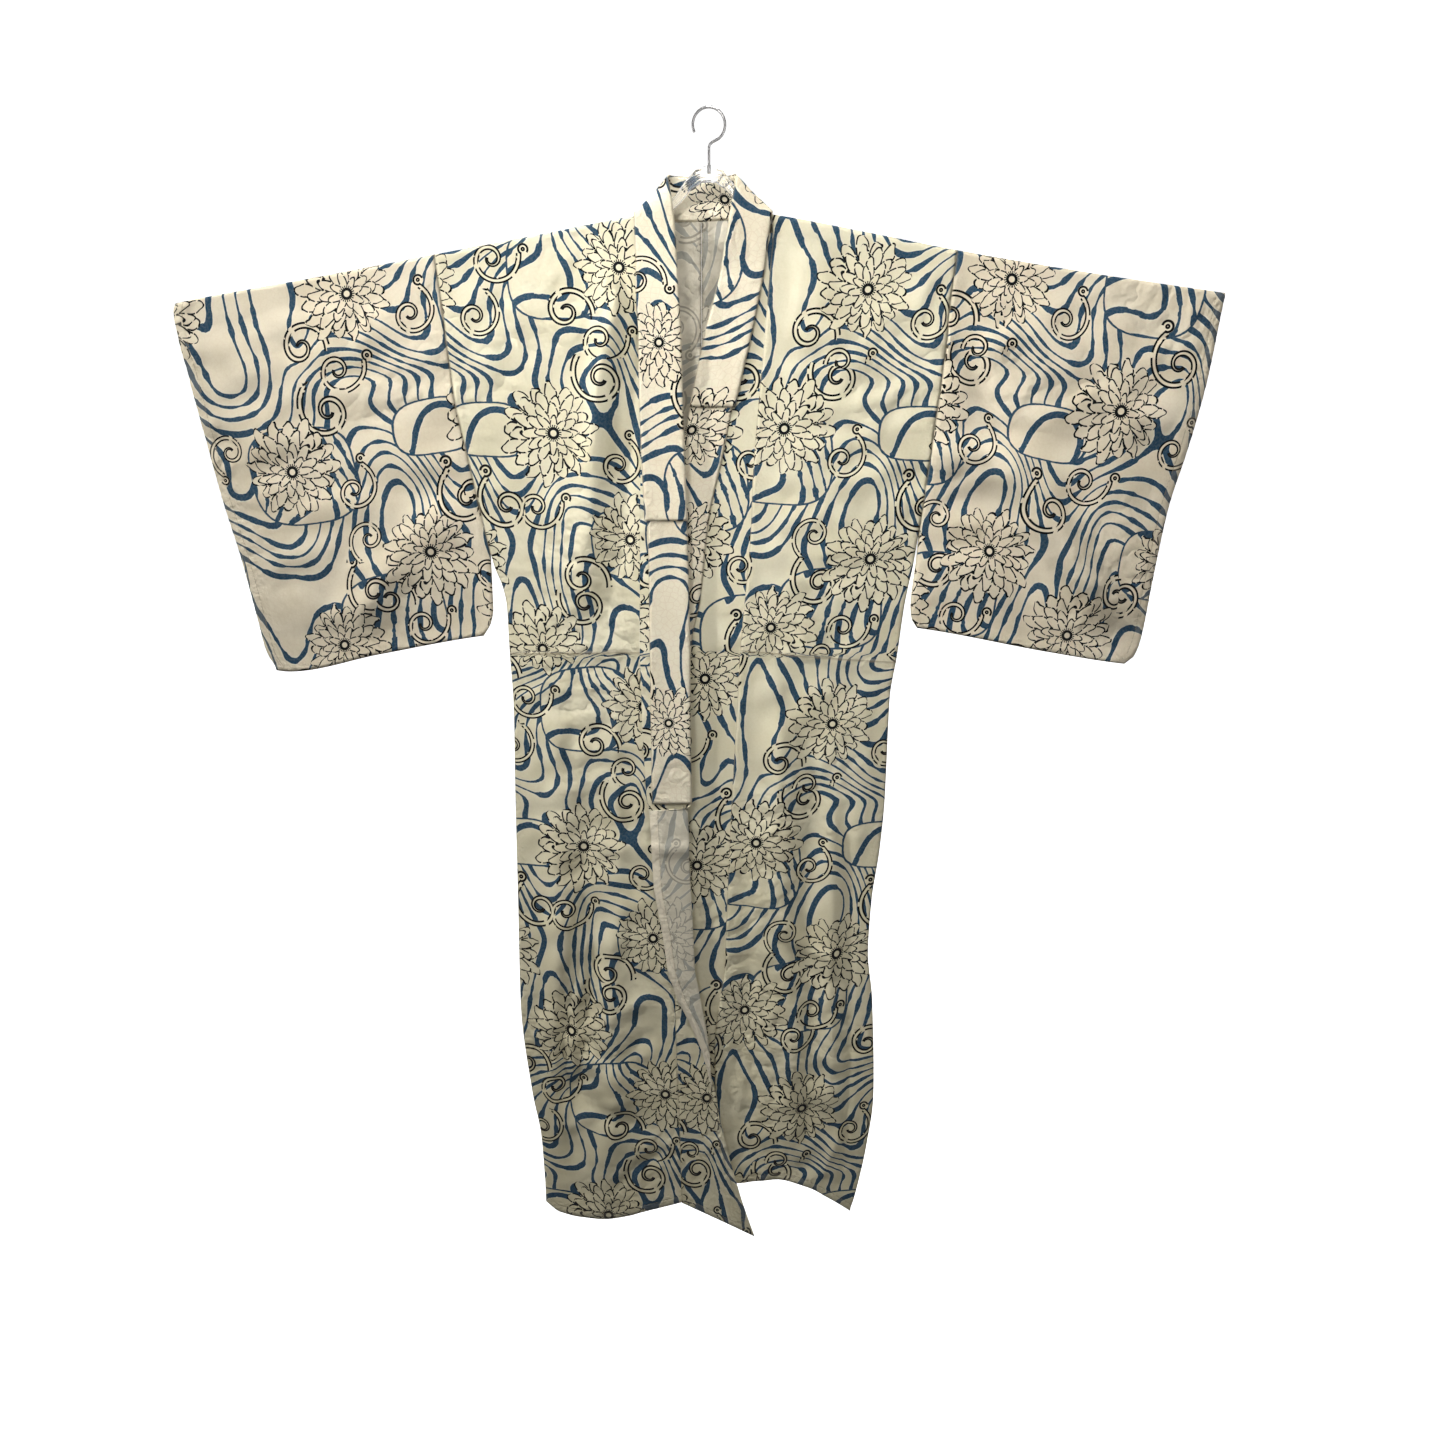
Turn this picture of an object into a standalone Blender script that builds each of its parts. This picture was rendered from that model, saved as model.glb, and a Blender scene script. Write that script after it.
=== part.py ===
# Cotton yukata hung flat on a clear hanger: the solids of its cut-and-sewn pieces, the hanger and its hook.
# Tables are in centimetres from the inner crown of the hook, with x to the right as seen from the front,
# z up and y away from the viewer.

import math

import bpy
import numpy as np

CM = 0.01

# Wall thicknesses, and the space left at every seam
WALL = 0.16
COLLAR_WALL = 0.20
OVERLAY_WALL = 0.14
SEAM = 0.03

# The cloth turns over the hanger's arms with this radius, taken at the middle of the wall
SHOULDER_ROLL = 0.65
CUFF_ROLL = 0.42
HALF_TURN = math.pi / 2

# Closed edges keep front and back this far from the middle plane
CLOSED = WALL / 2 + SEAM / 2
CENTRE_X = -1.0

# Depth of the middle of each layer in front of (minus) or behind (plus) the hanger's plane
LEFT_FRONT_DEPTH = 1.55
RIGHT_FRONT_DEPTH = 0.95
BACK_DEPTH = 1.25
LAYER = 0.20
FOLD_RADIUS = 0.12

# Top edge of shoulders and sleeves: x, z
TOP_LINE = [
    (-67.4, -22.4), (-66.0, -22.1), (-50.0, -19.4), (-34.2, -16.6), (-20.0, -14.1), (-8.9, -12.1),
    (-4.0, -11.6),
    (3.0, -11.4), (7.3, -11.9), (20.0, -14.1), (30.8, -16.1), (48.0, -18.8), (64.7, -21.1),
]

# Armholes, and the free inner edge of each sleeve below them: x, z
ARMHOLE_LEFT = [
    (-34.2, -16.6), (-33.4, -24.3), (-32.5, -33.8), (-31.0, -42.0), (-29.8, -48.8), (-28.9, -54.3),
    (-28.9, -60.6),
    (-29.3, -62.6), (-30.4, -64.4),
]
ARMHOLE_RIGHT = [
    (30.8, -16.1), (29.9, -26.7), (28.8, -37.7), (27.6, -49.1), (27.2, -54.3), (26.7, -60.3), (26.9, -62.0),
    (27.7, -63.3),
]
ARMHOLE_END = -54.3

# Cuff edges and lower edges of the sleeves: x, z
CUFF_LEFT = [
    (-67.1, -22.3), (-67.4, -23.5), (-67.1, -26.0), (-65.6, -34.0), (-63.8, -45.5), (-61.9, -54.0),
    (-60.4, -62.5),
    (-59.8, -66.1), (-58.6, -68.6),
]
CUFF_RIGHT = [
    (64.7, -21.1), (63.5, -30.0), (61.4, -41.3), (59.9, -47.9), (58.7, -56.9), (57.9, -64.1), (57.2, -66.8),
    (55.9, -68.0),
]
SLEEVE_FOOT_LEFT = [(-59.8, -68.7), (-56.8, -69.1), (-44.5, -66.8), (-30.8, -64.4), (-28.9, -64.2)]
SLEEVE_FOOT_RIGHT = [(26.7, -63.2), (27.7, -63.3), (45.7, -66.5), (55.6, -68.0), (57.9, -68.2)]
CUFF_OPENING_END = -46.0

# Side seams below the armholes: x, z
SIDE_LEFT = [
    (-28.6, -54.9), (-27.5, -58.0), (-27.1, -60.5), (-27.0, -67.0), (-26.8, -73.0), (-27.1, -87.0),
    (-27.3, -102.0),
    (-27.5, -117.0), (-26.3, -133.0), (-25.2, -141.5), (-24.9, -150.0),
]
SIDE_RIGHT = [
    (26.9, -54.9), (26.3, -58.0), (25.9, -60.5), (25.2, -67.0), (24.4, -73.0), (24.2, -87.0), (23.7, -94.5),
    (22.8, -102.0), (22.5, -109.5), (23.3, -117.0), (23.9, -133.0), (23.1, -141.5), (21.6, -150.0),
    (21.0, -152.3),
]

# Inner edges of the fronts, where the overlap panels and the collar are sewn on: x, z
FRONT_EDGE_LEFT = [
    (-8.9, -12.1), (-8.8, -14.0), (-8.6, -17.0), (-8.1, -21.0), (-7.8, -26.0), (-7.4, -34.0), (-7.2, -50.0),
    (-7.2, -86.0), (-6.9, -92.0), (-6.2, -100.0), (-5.5, -106.0), (-5.0, -112.0), (-4.8, -122.0),
    (-4.4, -134.0),
    (-4.1, -149.0),
]
FRONT_EDGE_RIGHT = [
    (7.7, -12.1), (7.9, -14.0), (7.6, -18.0), (7.0, -25.7), (5.5, -45.4), (5.4, -49.1), (4.0, -66.8),
    (3.5, -76.4),
    (2.8, -89.8), (2.3, -102.1), (1.9, -112.6), (1.3, -116.7), (0.5, -124.6), (0.6, -134.0), (2.0, -146.5),
]

# Back neck, from the centre seam to the shoulder: x, girth measured back from the shoulder fold
BACK_NECK_LEFT = [(-1.0, -1.55), (-4.0, -1.40), (-6.6, -1.00), (-8.2, -0.55), (-8.9, 0.0)]
BACK_NECK_RIGHT = [(-1.0, -1.55), (2.2, -1.40), (5.2, -1.00), (6.9, -0.50), (7.7, 0.0)]

# Hems: x, z
HEM_LEFT = [(-24.9, -149.7), (-22.7, -151.2), (-16.7, -152.0), (-10.7, -150.8), (-3.2, -148.8)]
HEM_RIGHT = [(0.0, -146.8), (5.0, -146.3), (10.2, -145.8), (13.2, -146.6), (17.8, -149.2), (21.2, -151.8)]
HEM_BACK = [(-24.9, -149.7), (-15.0, -150.0), (-1.0, -147.2), (10.0, -146.6), (16.0, -148.6), (21.2, -151.8)]

# Waist tuck: the cloth above it stands a little in front of the cloth below
TUCK_LEFT = [(-27.0, -66.7), (-9.3, -66.3)]
TUCK_RIGHT = [(3.7, -66.1), (14.7, -67.1), (25.2, -67.9)]
TUCK_STEP = 0.10
TUCK_RISE = 0.35

# Largest folds of the front: path, half width, height towards the viewer
FRONT_FOLDS = [
    {"path": [(-9.8, -19.0), (-12.4, -26.8), (-13.6, -30.6), (-14.6, -38.4), (-16.6, -48.8), (-18.2, -62.0)],
     "width": 2.6, "height": 0.75},
    {"path": [(-9.9, -29.0), (-10.8, -38.0), (-12.4, -50.0), (-13.6, -62.0)], "width": 2.0, "height": -0.30},
    {"path": [(-15.4, -98.0), (-17.3, -107.3), (-19.1, -119.6), (-20.4, -133.9), (-20.8, -146.0)],
     "width": 1.9, "height": -0.70},
    {"path": [(-19.6, -98.0), (-21.4, -108.0), (-23.0, -120.0), (-23.4, -136.0), (-23.2, -148.0)],
     "width": 2.2, "height": 0.55},
    {"path": [(-12.6, -90.0), (-13.4, -108.0), (-14.6, -126.0), (-15.0, -150.0)], "width": 2.8, "height": 0.35},
    {"path": [(11.0, -17.0), (13.0, -34.0), (12.4, -56.0)], "width": 3.2, "height": 0.30},
    {"path": [(9.0, -72.0), (8.2, -100.0), (9.6, -146.0)], "width": 3.0, "height": 0.30},
    {"path": [(17.6, -84.0), (16.6, -106.0), (17.8, -128.0), (18.6, -150.0)], "width": 2.4, "height": 0.55},
    {"path": [(29.6, -19.0), (33.0, -27.0), (36.5, -36.0), (38.5, -43.0)], "width": 2.6, "height": -0.35},
    {"path": [(36.0, -38.5), (38.7, -43.7), (44.8, -51.7), (51.8, -59.8), (54.6, -64.0)],
     "width": 2.6, "height": 0.70},
    {"path": [(34.0, -44.0), (38.0, -51.5), (44.5, -59.0)], "width": 2.8, "height": -0.30},
    {"path": [(-36.0, -36.0), (-44.0, -50.0), (-47.0, -62.0)], "width": 3.6, "height": 0.30},
    {"path": [(-52.0, -30.0), (-53.0, -44.0), (-50.0, -60.0)], "width": 3.6, "height": -0.25},
]

# Largest folds of the back
BACK_FOLDS = [
    {"path": [(-12.0, -22.0), (-14.0, -60.0), (-15.0, -148.0)], "width": 3.2, "height": 0.35},
    {"path": [(10.0, -22.0), (12.0, -60.0), (13.0, -148.0)], "width": 3.2, "height": 0.35},
    {"path": [(-6.5, -80.0), (-7.5, -148.0)], "width": 2.8, "height": -0.25},
    {"path": [(5.5, -70.0), (6.0, -148.0)], "width": 2.8, "height": -0.25},
    {"path": [(-38.0, -30.0), (-46.0, -58.0)], "width": 4.0, "height": 0.30},
    {"path": [(36.0, -30.0), (44.0, -58.0)], "width": 4.0, "height": 0.30},
]


def smooth_curve(table):
    """Smooth function through (input, value) pairs that never overshoots them."""
    pairs = sorted(table)
    xs = np.array([pair[0] for pair in pairs], float)
    ys = np.array([pair[1] for pair in pairs], float)
    steps = np.diff(xs)
    slopes = np.diff(ys) / steps
    tangents = np.zeros_like(ys)
    tangents[0] = slopes[0]
    tangents[-1] = slopes[-1]
    for i in range(1, len(ys) - 1):
        before, after = slopes[i - 1], slopes[i]
        if before * after > 0:
            tangents[i] = 2 * before * after / (before + after)

    def value(x):
        x = np.clip(np.asarray(x, float), xs[0], xs[-1])
        i = np.clip(np.searchsorted(xs, x) - 1, 0, len(steps) - 1)
        t = (x - xs[i]) / steps[i]
        a = (1 + 2 * t) * (1 - t) ** 2 * ys[i]
        b = t * (1 - t) ** 2 * steps[i] * tangents[i]
        c = t * t * (3 - 2 * t) * ys[i + 1]
        d = t * t * (t - 1) * steps[i] * tangents[i + 1]
        return a + b + c + d

    return value


def ease(t):
    """Runs smoothly from 0 to 1 while t does."""
    t = np.clip(t, 0.0, 1.0)
    return t * t * (3 - 2 * t)


top_line = smooth_curve(TOP_LINE)


def girth_to_z(x, girth, roll):
    """Height of a point that lies this far from the shoulder fold, measured over the roll."""
    away = np.abs(girth)
    on_roll = away < HALF_TURN * roll
    return np.where(
        on_roll,
        top_line(x) - roll * (1 - np.cos(away / roll)),
        top_line(x) - roll - (away - HALF_TURN * roll),
    )


def z_to_girth(x, z, roll):
    return top_line(x) - z - roll + HALF_TURN * roll


def edge_by_girth(points):
    """Turns an edge drawn in x and z into x as a function of the girth."""
    return smooth_curve([(max(0.0, float(z_to_girth(x, z, SHOULDER_ROLL))), x) for x, z in points])


def path_distance(x, z, path):
    """Distance to a path, and how far along it the nearest point is (0 to 1)."""
    points = np.array(path, float)
    lengths = np.hypot(*np.diff(points, axis=0).T)
    total = lengths.sum()
    best = np.full(np.shape(x), 1e9)
    along = np.zeros(np.shape(x))
    start = 0.0
    for (ax, az), (bx, bz), length in zip(points[:-1], points[1:], lengths):
        t = np.clip(((x - ax) * (bx - ax) + (z - az) * (bz - az)) / length**2, 0, 1)
        distance = np.hypot(x - ax - t * (bx - ax), z - az - t * (bz - az))
        nearer = distance < best
        best = np.where(nearer, distance, best)
        along = np.where(nearer, (start + t * length) / total, along)
        start += length
    return best, along


def fold_relief(x, z, folds):
    """Height that a list of folds gives at a point, each one fading out at its ends."""
    height = np.zeros(np.shape(x))
    for fold in folds:
        distance, along = path_distance(x, z, fold["path"])
        fade = ease(along / 0.15) * ease((1 - along) / 0.15 + 0.35)
        height = height + fold["height"] * fade * np.exp(-((distance / fold["width"]) ** 2))
    return height


def sway(x, z):
    """Slow waviness shared by every layer, so that the seams keep their spacing."""
    across = 0.28 * np.sin(x / 9.5 + 0.8) * ease((-z - 75.0) / 60.0)
    along = 0.22 * np.sin(z / 17.0 + 0.5) * ease((-z - 30.0) / 40.0)
    return across + along


def closing(z):
    """Half gap along the armhole line: open above its end, closed below."""
    drop = np.clip((-z - 17.0) / (-ARMHOLE_END - 17.0), 0, 1)
    lens = SHOULDER_ROLL + 0.45 * np.sin(math.pi * np.clip(drop, 0, 1)) - (SHOULDER_ROLL - CLOSED) * drop**2
    return np.where(z > ARMHOLE_END, np.maximum(lens, CLOSED), CLOSED)


def tuck_offset(x, z, table):
    line = smooth_curve(table)(x)
    return TUCK_STEP * ease((z - line) / TUCK_RISE + 0.5)


arm_left = edge_by_girth(ARMHOLE_LEFT)
arm_right = edge_by_girth(ARMHOLE_RIGHT)
side_left = edge_by_girth([p for p in ARMHOLE_LEFT if p[1] > ARMHOLE_END + 1] + SIDE_LEFT)
side_right = edge_by_girth([p for p in ARMHOLE_RIGHT if p[1] > ARMHOLE_END + 1] + SIDE_RIGHT)
front_edge_left = edge_by_girth(FRONT_EDGE_LEFT)
front_edge_right = edge_by_girth(FRONT_EDGE_RIGHT)

SIDES = {
    "left": {
        "sign": -1, "outer": side_left, "inner": front_edge_left, "neck": BACK_NECK_LEFT, "hem": HEM_LEFT,
        "tuck": TUCK_LEFT, "depth": LEFT_FRONT_DEPTH,
    },
    "right": {
        "sign": 1, "outer": side_right, "inner": front_edge_right, "neck": BACK_NECK_RIGHT, "hem": HEM_RIGHT,
        "tuck": TUCK_RIGHT, "depth": RIGHT_FRONT_DEPTH,
    },
}


def half_gap(side, x, z, depth):
    """Half gap between front and back of the body, from the middle of it out to the side seam."""
    girth = np.maximum(z_to_girth(x, z, SHOULDER_ROLL), HALF_TURN * SHOULDER_ROLL)
    edge = side["outer"](girth)
    reach = np.abs(edge - CENTRE_X)
    across = np.clip(np.abs(x - CENTRE_X) / reach, 0, 1)
    across = np.where((x - CENTRE_X) * side["sign"] < 0, 0, across)
    rounding = 1 - np.clip((across - 0.25) / 0.75, 0, 1) ** 2.6
    at_edge = closing(z)
    full = at_edge + (depth - at_edge) * rounding
    drop = np.maximum(top_line(x) - SHOULDER_ROLL - z, 0)
    spread = ease(drop / 11.0)
    return SHOULDER_ROLL + (full - SHOULDER_ROLL) * spread


def openness(gap):
    return np.clip((gap - CLOSED) / 0.8, 0, 1)


def front_y(side, x, z):
    """Depth of the middle of a front's cloth."""
    gap = half_gap(side, x, z, side["depth"])
    drop = np.maximum(top_line(x) - SHOULDER_ROLL - z, 0)
    relief = fold_relief(x, z, FRONT_FOLDS) * openness(gap) * ease(drop / 8.0)
    inner = side["inner"](np.maximum(z_to_girth(x, z, SHOULDER_ROLL), 0))
    relief = relief * ease(((x - inner) * side["sign"] - 1.2) / 3.0)
    return -(gap + relief) + sway(x, z)


def body_front_y(side, x, z):
    """The same with the step of the waist tuck, which keeps clear of the layers on the front's inner edge."""
    gap = half_gap(side, x, z, side["depth"])
    above = tuck_offset(x, z, side["tuck"])
    step = above if side["sign"] > 0 else above - TUCK_STEP
    return front_y(side, x, z) - step * openness(gap) * ease((-z - 40.0) / 15.0)


def back_y(side, x, z):
    gap = half_gap(side, x, z, BACK_DEPTH)
    drop = np.maximum(top_line(x) - SHOULDER_ROLL - z, 0)
    relief = fold_relief(x, z, BACK_FOLDS) * openness(gap) * ease(drop / 8.0)
    return gap + relief + sway(x, z)


def body_grid(side, columns, girths):
    """Middle surface of one body width, from the back hem over the shoulder to the front hem."""
    sign = side["sign"]
    longest = girths[-1]
    hem_front = smooth_curve(side["hem"])
    hem_back = smooth_curve(HEM_BACK)
    neck_x = smooth_curve([(girth, x) for x, girth in side["neck"]])
    rows = []
    for girth in girths:
        away = abs(girth)
        outer = float(side["outer"](away)) - sign * SEAM
        if girth >= 0:
            inner = float(side["inner"](away))
        elif girth > side["neck"][0][1]:
            inner = float(neck_x(girth))
        else:
            inner = CENTRE_X + sign * SEAM / 2
        x = inner + (outer - inner) * np.linspace(0, 1, columns)
        hem = hem_front if girth >= 0 else hem_back
        full = z_to_girth(x, hem(x), SHOULDER_ROLL)
        blend = ease((away / longest - 0.72) / 0.28)
        reach = away * (1 + blend * (full / longest - 1))
        z = girth_to_z(x, reach, SHOULDER_ROLL)
        on_roll = reach < HALF_TURN * SHOULDER_ROLL + 1e-6
        roll_y = SHOULDER_ROLL * np.sin(np.minimum(reach / SHOULDER_ROLL, HALF_TURN))
        if girth >= 0:
            y = np.where(on_roll, -roll_y, body_front_y(side, x, z))
        else:
            y = np.where(on_roll, roll_y, back_y(side, x, z))
        rows.append(np.stack([x, y, z], axis=1))
    return np.array(rows)


def sleeve_grid(sign, arm, cuff_points, foot_points, columns, shares):
    """Middle surface of a sleeve: up the back from the lower seam, over the top fold and down the front."""
    cuff = edge_by_girth(cuff_points)
    foot = smooth_curve(foot_points)
    rows = []
    for share in shares:
        away = abs(share)
        spread = np.linspace(0, 1, columns)
        guess = away * 47.4
        x = np.zeros(columns)
        for _ in range(6):
            inner = arm(guess)
            outer = cuff(guess)
            x = inner + (outer - inner) * spread + sign * SEAM * (1 - spread)
            guess = away * z_to_girth(x, foot(x), SHOULDER_ROLL)
        reach = away * z_to_girth(x, foot(x), SHOULDER_ROLL)
        roll = SHOULDER_ROLL + (CUFF_ROLL - SHOULDER_ROLL) * spread
        z = girth_to_z(x, reach, roll)
        drop = np.maximum(top_line(x) - roll - z, 0)
        at_arm = closing(z)
        cuff_gap = CLOSED + (0.75 - CLOSED) * ease((z - CUFF_OPENING_END) / 12.0)
        middle = 1.15 * np.sin(math.pi * np.clip((1 - away) * 1.6, 0, 0.5)) + CLOSED
        puff = np.sin(math.pi * spread) ** 0.8
        edge = at_arm * (1 - ease(spread)) + cuff_gap * ease(spread)
        full = edge + (np.maximum(middle, edge) - edge) * puff
        full = CLOSED + (full - CLOSED) * ease((1 - away) / 0.16)
        gap = roll + (full - roll) * ease(drop / 9.0)
        folds = FRONT_FOLDS if share >= 0 else BACK_FOLDS
        relief = fold_relief(x, z, folds) * openness(gap) * ease(drop / 8.0)
        on_roll = reach < HALF_TURN * roll + 1e-6
        roll_y = roll * np.sin(np.minimum(reach / roll, HALF_TURN))
        if share >= 0:
            y = np.where(on_roll, -roll_y, -(gap + relief) + sway(x, z))
        else:
            y = np.where(on_roll, roll_y, gap + relief + sway(x, z))
        rows.append(np.stack([x, y, z], axis=1))
    return np.array(rows)


# Left overlap panel, row by row: height at its seam, seam, left fold, right fold or edge, length of the turned
# flap, share of the under fold, share of the turned flap
OKUMI_LEFT = [
    (-26.5, -7.2, -8.3, -4.4, 0.4, 1.0, 0.0),
    (-34.0, -7.2, -8.6, -4.2, 0.4, 1.0, 0.0),
    (-50.0, -7.2, -9.0, -3.8, 0.4, 1.0, 0.0),
    (-66.5, -7.2, -9.3, -3.7, 0.4, 1.0, 0.0),
    (-78.0, -7.2, -9.1, -3.6, 0.4, 1.0, 0.0),
    (-85.0, -7.2, -8.8, -3.5, 0.4, 1.0, 0.0),
    (-87.3, -7.2, -8.6, -3.4, 0.3, 1.0, 0.0),
    (-87.7, -7.2, -8.5, -3.3, 0.3, 1.0, 0.5),
    (-88.1, -7.2, -8.4, -3.2, 5.1, 1.0, 1.0),
    (-90.0, -7.2, -7.9, -3.2, 5.1, 1.0, 1.0),
    (-92.0, -7.0, -7.4, -3.1, 5.1, 1.0, 1.0),
    (-95.5, -6.9, -7.3, -3.1, 5.0, 0.0, 1.0),
    (-99.7, -6.5, -6.9, -2.9, 5.0, 0.0, 1.0),
    (-106.3, -5.8, -6.2, -2.6, 4.2, 0.0, 1.0),
    (-112.0, -5.3, -5.7, -2.4, 3.7, 0.0, 1.0),
    (-116.4, -5.1, -5.5, -1.6, 3.1, 0.0, 1.0),
    (-120.8, -5.1, -5.5, -0.8, 1.8, 0.0, 1.0),
    (-124.5, -5.0, -5.4, -0.3, 0.9, 0.0, 1.0),
    (-127.0, -4.9, -5.3, -0.2, 0.3, 0.0, 1.0),
    (-130.5, -4.8, -5.2, 0.1, 0.3, 0.0, 0.0),
    (-134.0, -4.7, -5.1, 0.5, 0.4, 0.0, 0.0),
    (-139.0, -4.6, -5.0, 1.9, 0.5, 0.0, 0.0),
    (-144.0, -4.5, -4.9, 3.6, 0.5, 0.0, 0.0),
    (-149.0, -4.4, -4.8, 5.6, 0.5, 0.0, 0.0),
]
OKUMI_LEFT_HEIGHTS = [
    -26.5, -31.0, -36.0, -41.0, -46.0, -51.0, -56.0, -61.0, -66.0, -71.0, -76.0, -81.0, -85.0, -87.3,
    -87.7, -88.1,
    -90.0, -92.0, -93.8, -95.5, -99.0, -103.0, -107.0, -111.0, -114.5, -118.0, -121.0, -124.5, -127.0, -128.7,
    -130.5, -134.0, -138.0, -142.0, -145.5, -149.0,
]
OKUMI_LEFT_HEM_DROP = 5.9
OKUMI_LEFT_HEM_FROM = -118.0
LEAST_UNDER = 0.2


def turned_end(length, share, flat_cells):
    """An edge that turns back over its own layer: how far out and how high each point lies."""
    turn_cells = 4
    out = [0.0]
    height = [0.0]
    for i in range(turn_cells):
        angle = math.pi * share * (i + 0.5) / turn_cells
        step = math.pi * FOLD_RADIUS / turn_cells
        out.append(out[-1] + step * math.cos(angle))
        height.append(height[-1] + step * math.sin(angle))
    for _ in range(flat_cells):
        step = length / flat_cells
        out.append(out[-1] + step * math.cos(math.pi * share))
        height.append(height[-1] + step * math.sin(math.pi * share))
    return np.array(out), np.array(height)


def okumi_left_section(value):
    """One row across the left overlap panel: x, and level in front of the front's cloth."""
    under = float(ease(value["under"]))
    length = max(value["seam"] - value["fold"] - FOLD_RADIUS, LEAST_UNDER)
    out, height = turned_end(length, under, 2)
    anchor = under * (value["fold"] + FOLD_RADIUS) + (1 - under) * (value["seam"] + out[-1])
    base = -LAYER - height[-1]
    left_x = (anchor - out)[::-1]
    left_level = (base + height)[::-1]
    out, height = turned_end(value["length"], float(ease(value["flap"])), 3)
    right_x = value["right"] + out
    right_level = base - height
    base_x = np.linspace(left_x[-1], right_x[0], 5)[1:-1]
    x = np.concatenate([left_x, base_x, right_x])
    level = np.concatenate([left_level, np.full(3, base), right_level])
    return x, level


def okumi_left_grid(heights):
    """Middle surface of the left overlap panel, with its under fold and the flap turned out at the foot."""
    names = ["seam", "fold", "right", "length", "under", "flap"]
    rows = []
    heights_given = [-row[0] for row in OKUMI_LEFT]
    for height in heights:
        value = {}
        for i, name in enumerate(names):
            value[name] = float(np.interp(-height, heights_given, [row[i + 1] for row in OKUMI_LEFT]))
        x, level = okumi_left_section(value)
        hem = ease((OKUMI_LEFT_HEM_FROM - height) / (OKUMI_LEFT_HEM_FROM + 149.0))
        z = height - hem * OKUMI_LEFT_HEM_DROP * np.clip((x - value["seam"]) / 10.9, 0, 1.1)
        y = front_y(SIDES["left"], x, z) + level
        rows.append(np.stack([x, y, z], axis=1))
    return np.array(rows)


# Right overlap panel, behind the right front's edge: height, outer edge, inner edge
OKUMI_RIGHT = [
    (-14.2, 9.0, 5.2), (-18.0, 8.8, 4.4), (-22.0, 8.5, 3.4), (-26.0, 8.2, 2.2), (-34.0, 7.6, -0.2),
    (-48.0, 6.6, -2.9), (-60.0, 5.7, -4.4), (-66.0, 5.2, -5.2), (-80.0, 4.5, -6.6), (-90.0, 3.9, -7.2),
    (-104.0, 3.4, -7.6), (-118.0, 2.3, -7.8), (-134.0, 1.9, -7.8), (-146.5, 3.2, -7.6),
]
OKUMI_RIGHT_HEM = [(-8.0, -146.2), (0.0, -146.8), (5.0, -146.3)]


def okumi_right_grid(columns, heights):
    outer = smooth_curve([(row[0], row[1]) for row in OKUMI_RIGHT])
    inner = smooth_curve([(row[0], row[2]) for row in OKUMI_RIGHT])
    hem = smooth_curve(OKUMI_RIGHT_HEM)
    rows = []
    for height in heights:
        x = outer(height) + (inner(height) - outer(height)) * np.linspace(0, 1, columns)
        z = height + ease((-120.0 - height) / 26.5) * (hem(x) + 146.5)
        y = front_y(SIDES["right"], x, z) + LAYER
        rows.append(np.stack([x, y, z], axis=1))
    return np.array(rows)


# Collar on the fronts: height, seam edge, free edge, lift in front of the front's cloth
COLLAR_LEFT = [
    (-87.25, -8.0, -2.5, 0.66), (-78.0, -8.0, -2.6, 0.66), (-66.5, -8.0, -2.6, 0.66),
    (-52.0, -8.0, -2.8, 0.66),
    (-42.0, -8.3, -3.1, 0.66), (-34.2, -8.5, -3.3, 0.66), (-29.0, -8.5, -3.4, 0.72),
    (-25.5, -8.5, -3.5, 0.74),
    (-22.0, -8.8, -3.7, 0.60), (-18.6, -9.0, -3.9, 0.42),
]
COLLAR_RIGHT = [
    (-18.6, 6.8, 1.4, 0.0), (-22.0, 5.9, 0.6, 0.0), (-25.7, 5.1, -0.5, 0.0), (-30.0, 4.1, -1.5, 0.0),
    (-35.2, 2.9, -2.6, 0.0), (-42.0, 1.5, -4.0, 0.0), (-48.4, 0.0, -5.3, 0.0), (-59.5, -1.3, -6.7, 0.0),
    (-65.0, -2.4, -7.5, 0.0), (-78.0, -3.2, -8.4, 0.0), (-87.4, -3.4, -8.7, 0.0),
]
OVERLAY_BEYOND = 0.35
OVERLAY_SPACE = 0.05
OVERLAY_END_LEFT = -49.2
OVERLAY_END_RIGHT = -35.0
# Collar round the neck, from the left front to the right front: seam edge, free edge
COLLAR_NECK = [
    ((-9.15, -1.02, -15.2), (-4.1, -1.45, -14.6)),
    ((-9.20, -0.94, -13.2), (-4.4, -1.45, -11.6)),
    ((-9.15, -0.70, -12.15), (-4.7, -1.20, -9.3)),
    ((-8.85, 0.00, -11.85), (-4.9, -0.30, -7.9)),
    ((-8.10, 0.52, -12.08), (-4.75, 0.60, -7.35)),
    ((-6.60, 0.70, -12.38), (-4.1, 1.10, -7.25)),
    ((-4.20, 0.72, -12.56), (-3.0, 1.30, -7.25)),
    ((-1.00, 0.72, -12.62), (-0.9, 1.35, -7.25)),
    ((2.20, 0.72, -12.37), (1.2, 1.30, -7.25)),
    ((5.00, 0.70, -12.13), (2.4, 1.10, -7.2)),
    ((6.80, 0.52, -11.90), (3.0, 0.60, -7.25)),
    ((7.60, 0.00, -11.70), (3.2, -0.30, -7.8)),
    ((7.75, -0.72, -12.15), (3.05, -1.05, -9.2)),
    ((7.55, -0.94, -13.2), (2.6, -1.20, -11.6)),
    ((7.30, -0.95, -15.2), (2.1, -1.20, -14.6)),
]


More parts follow.
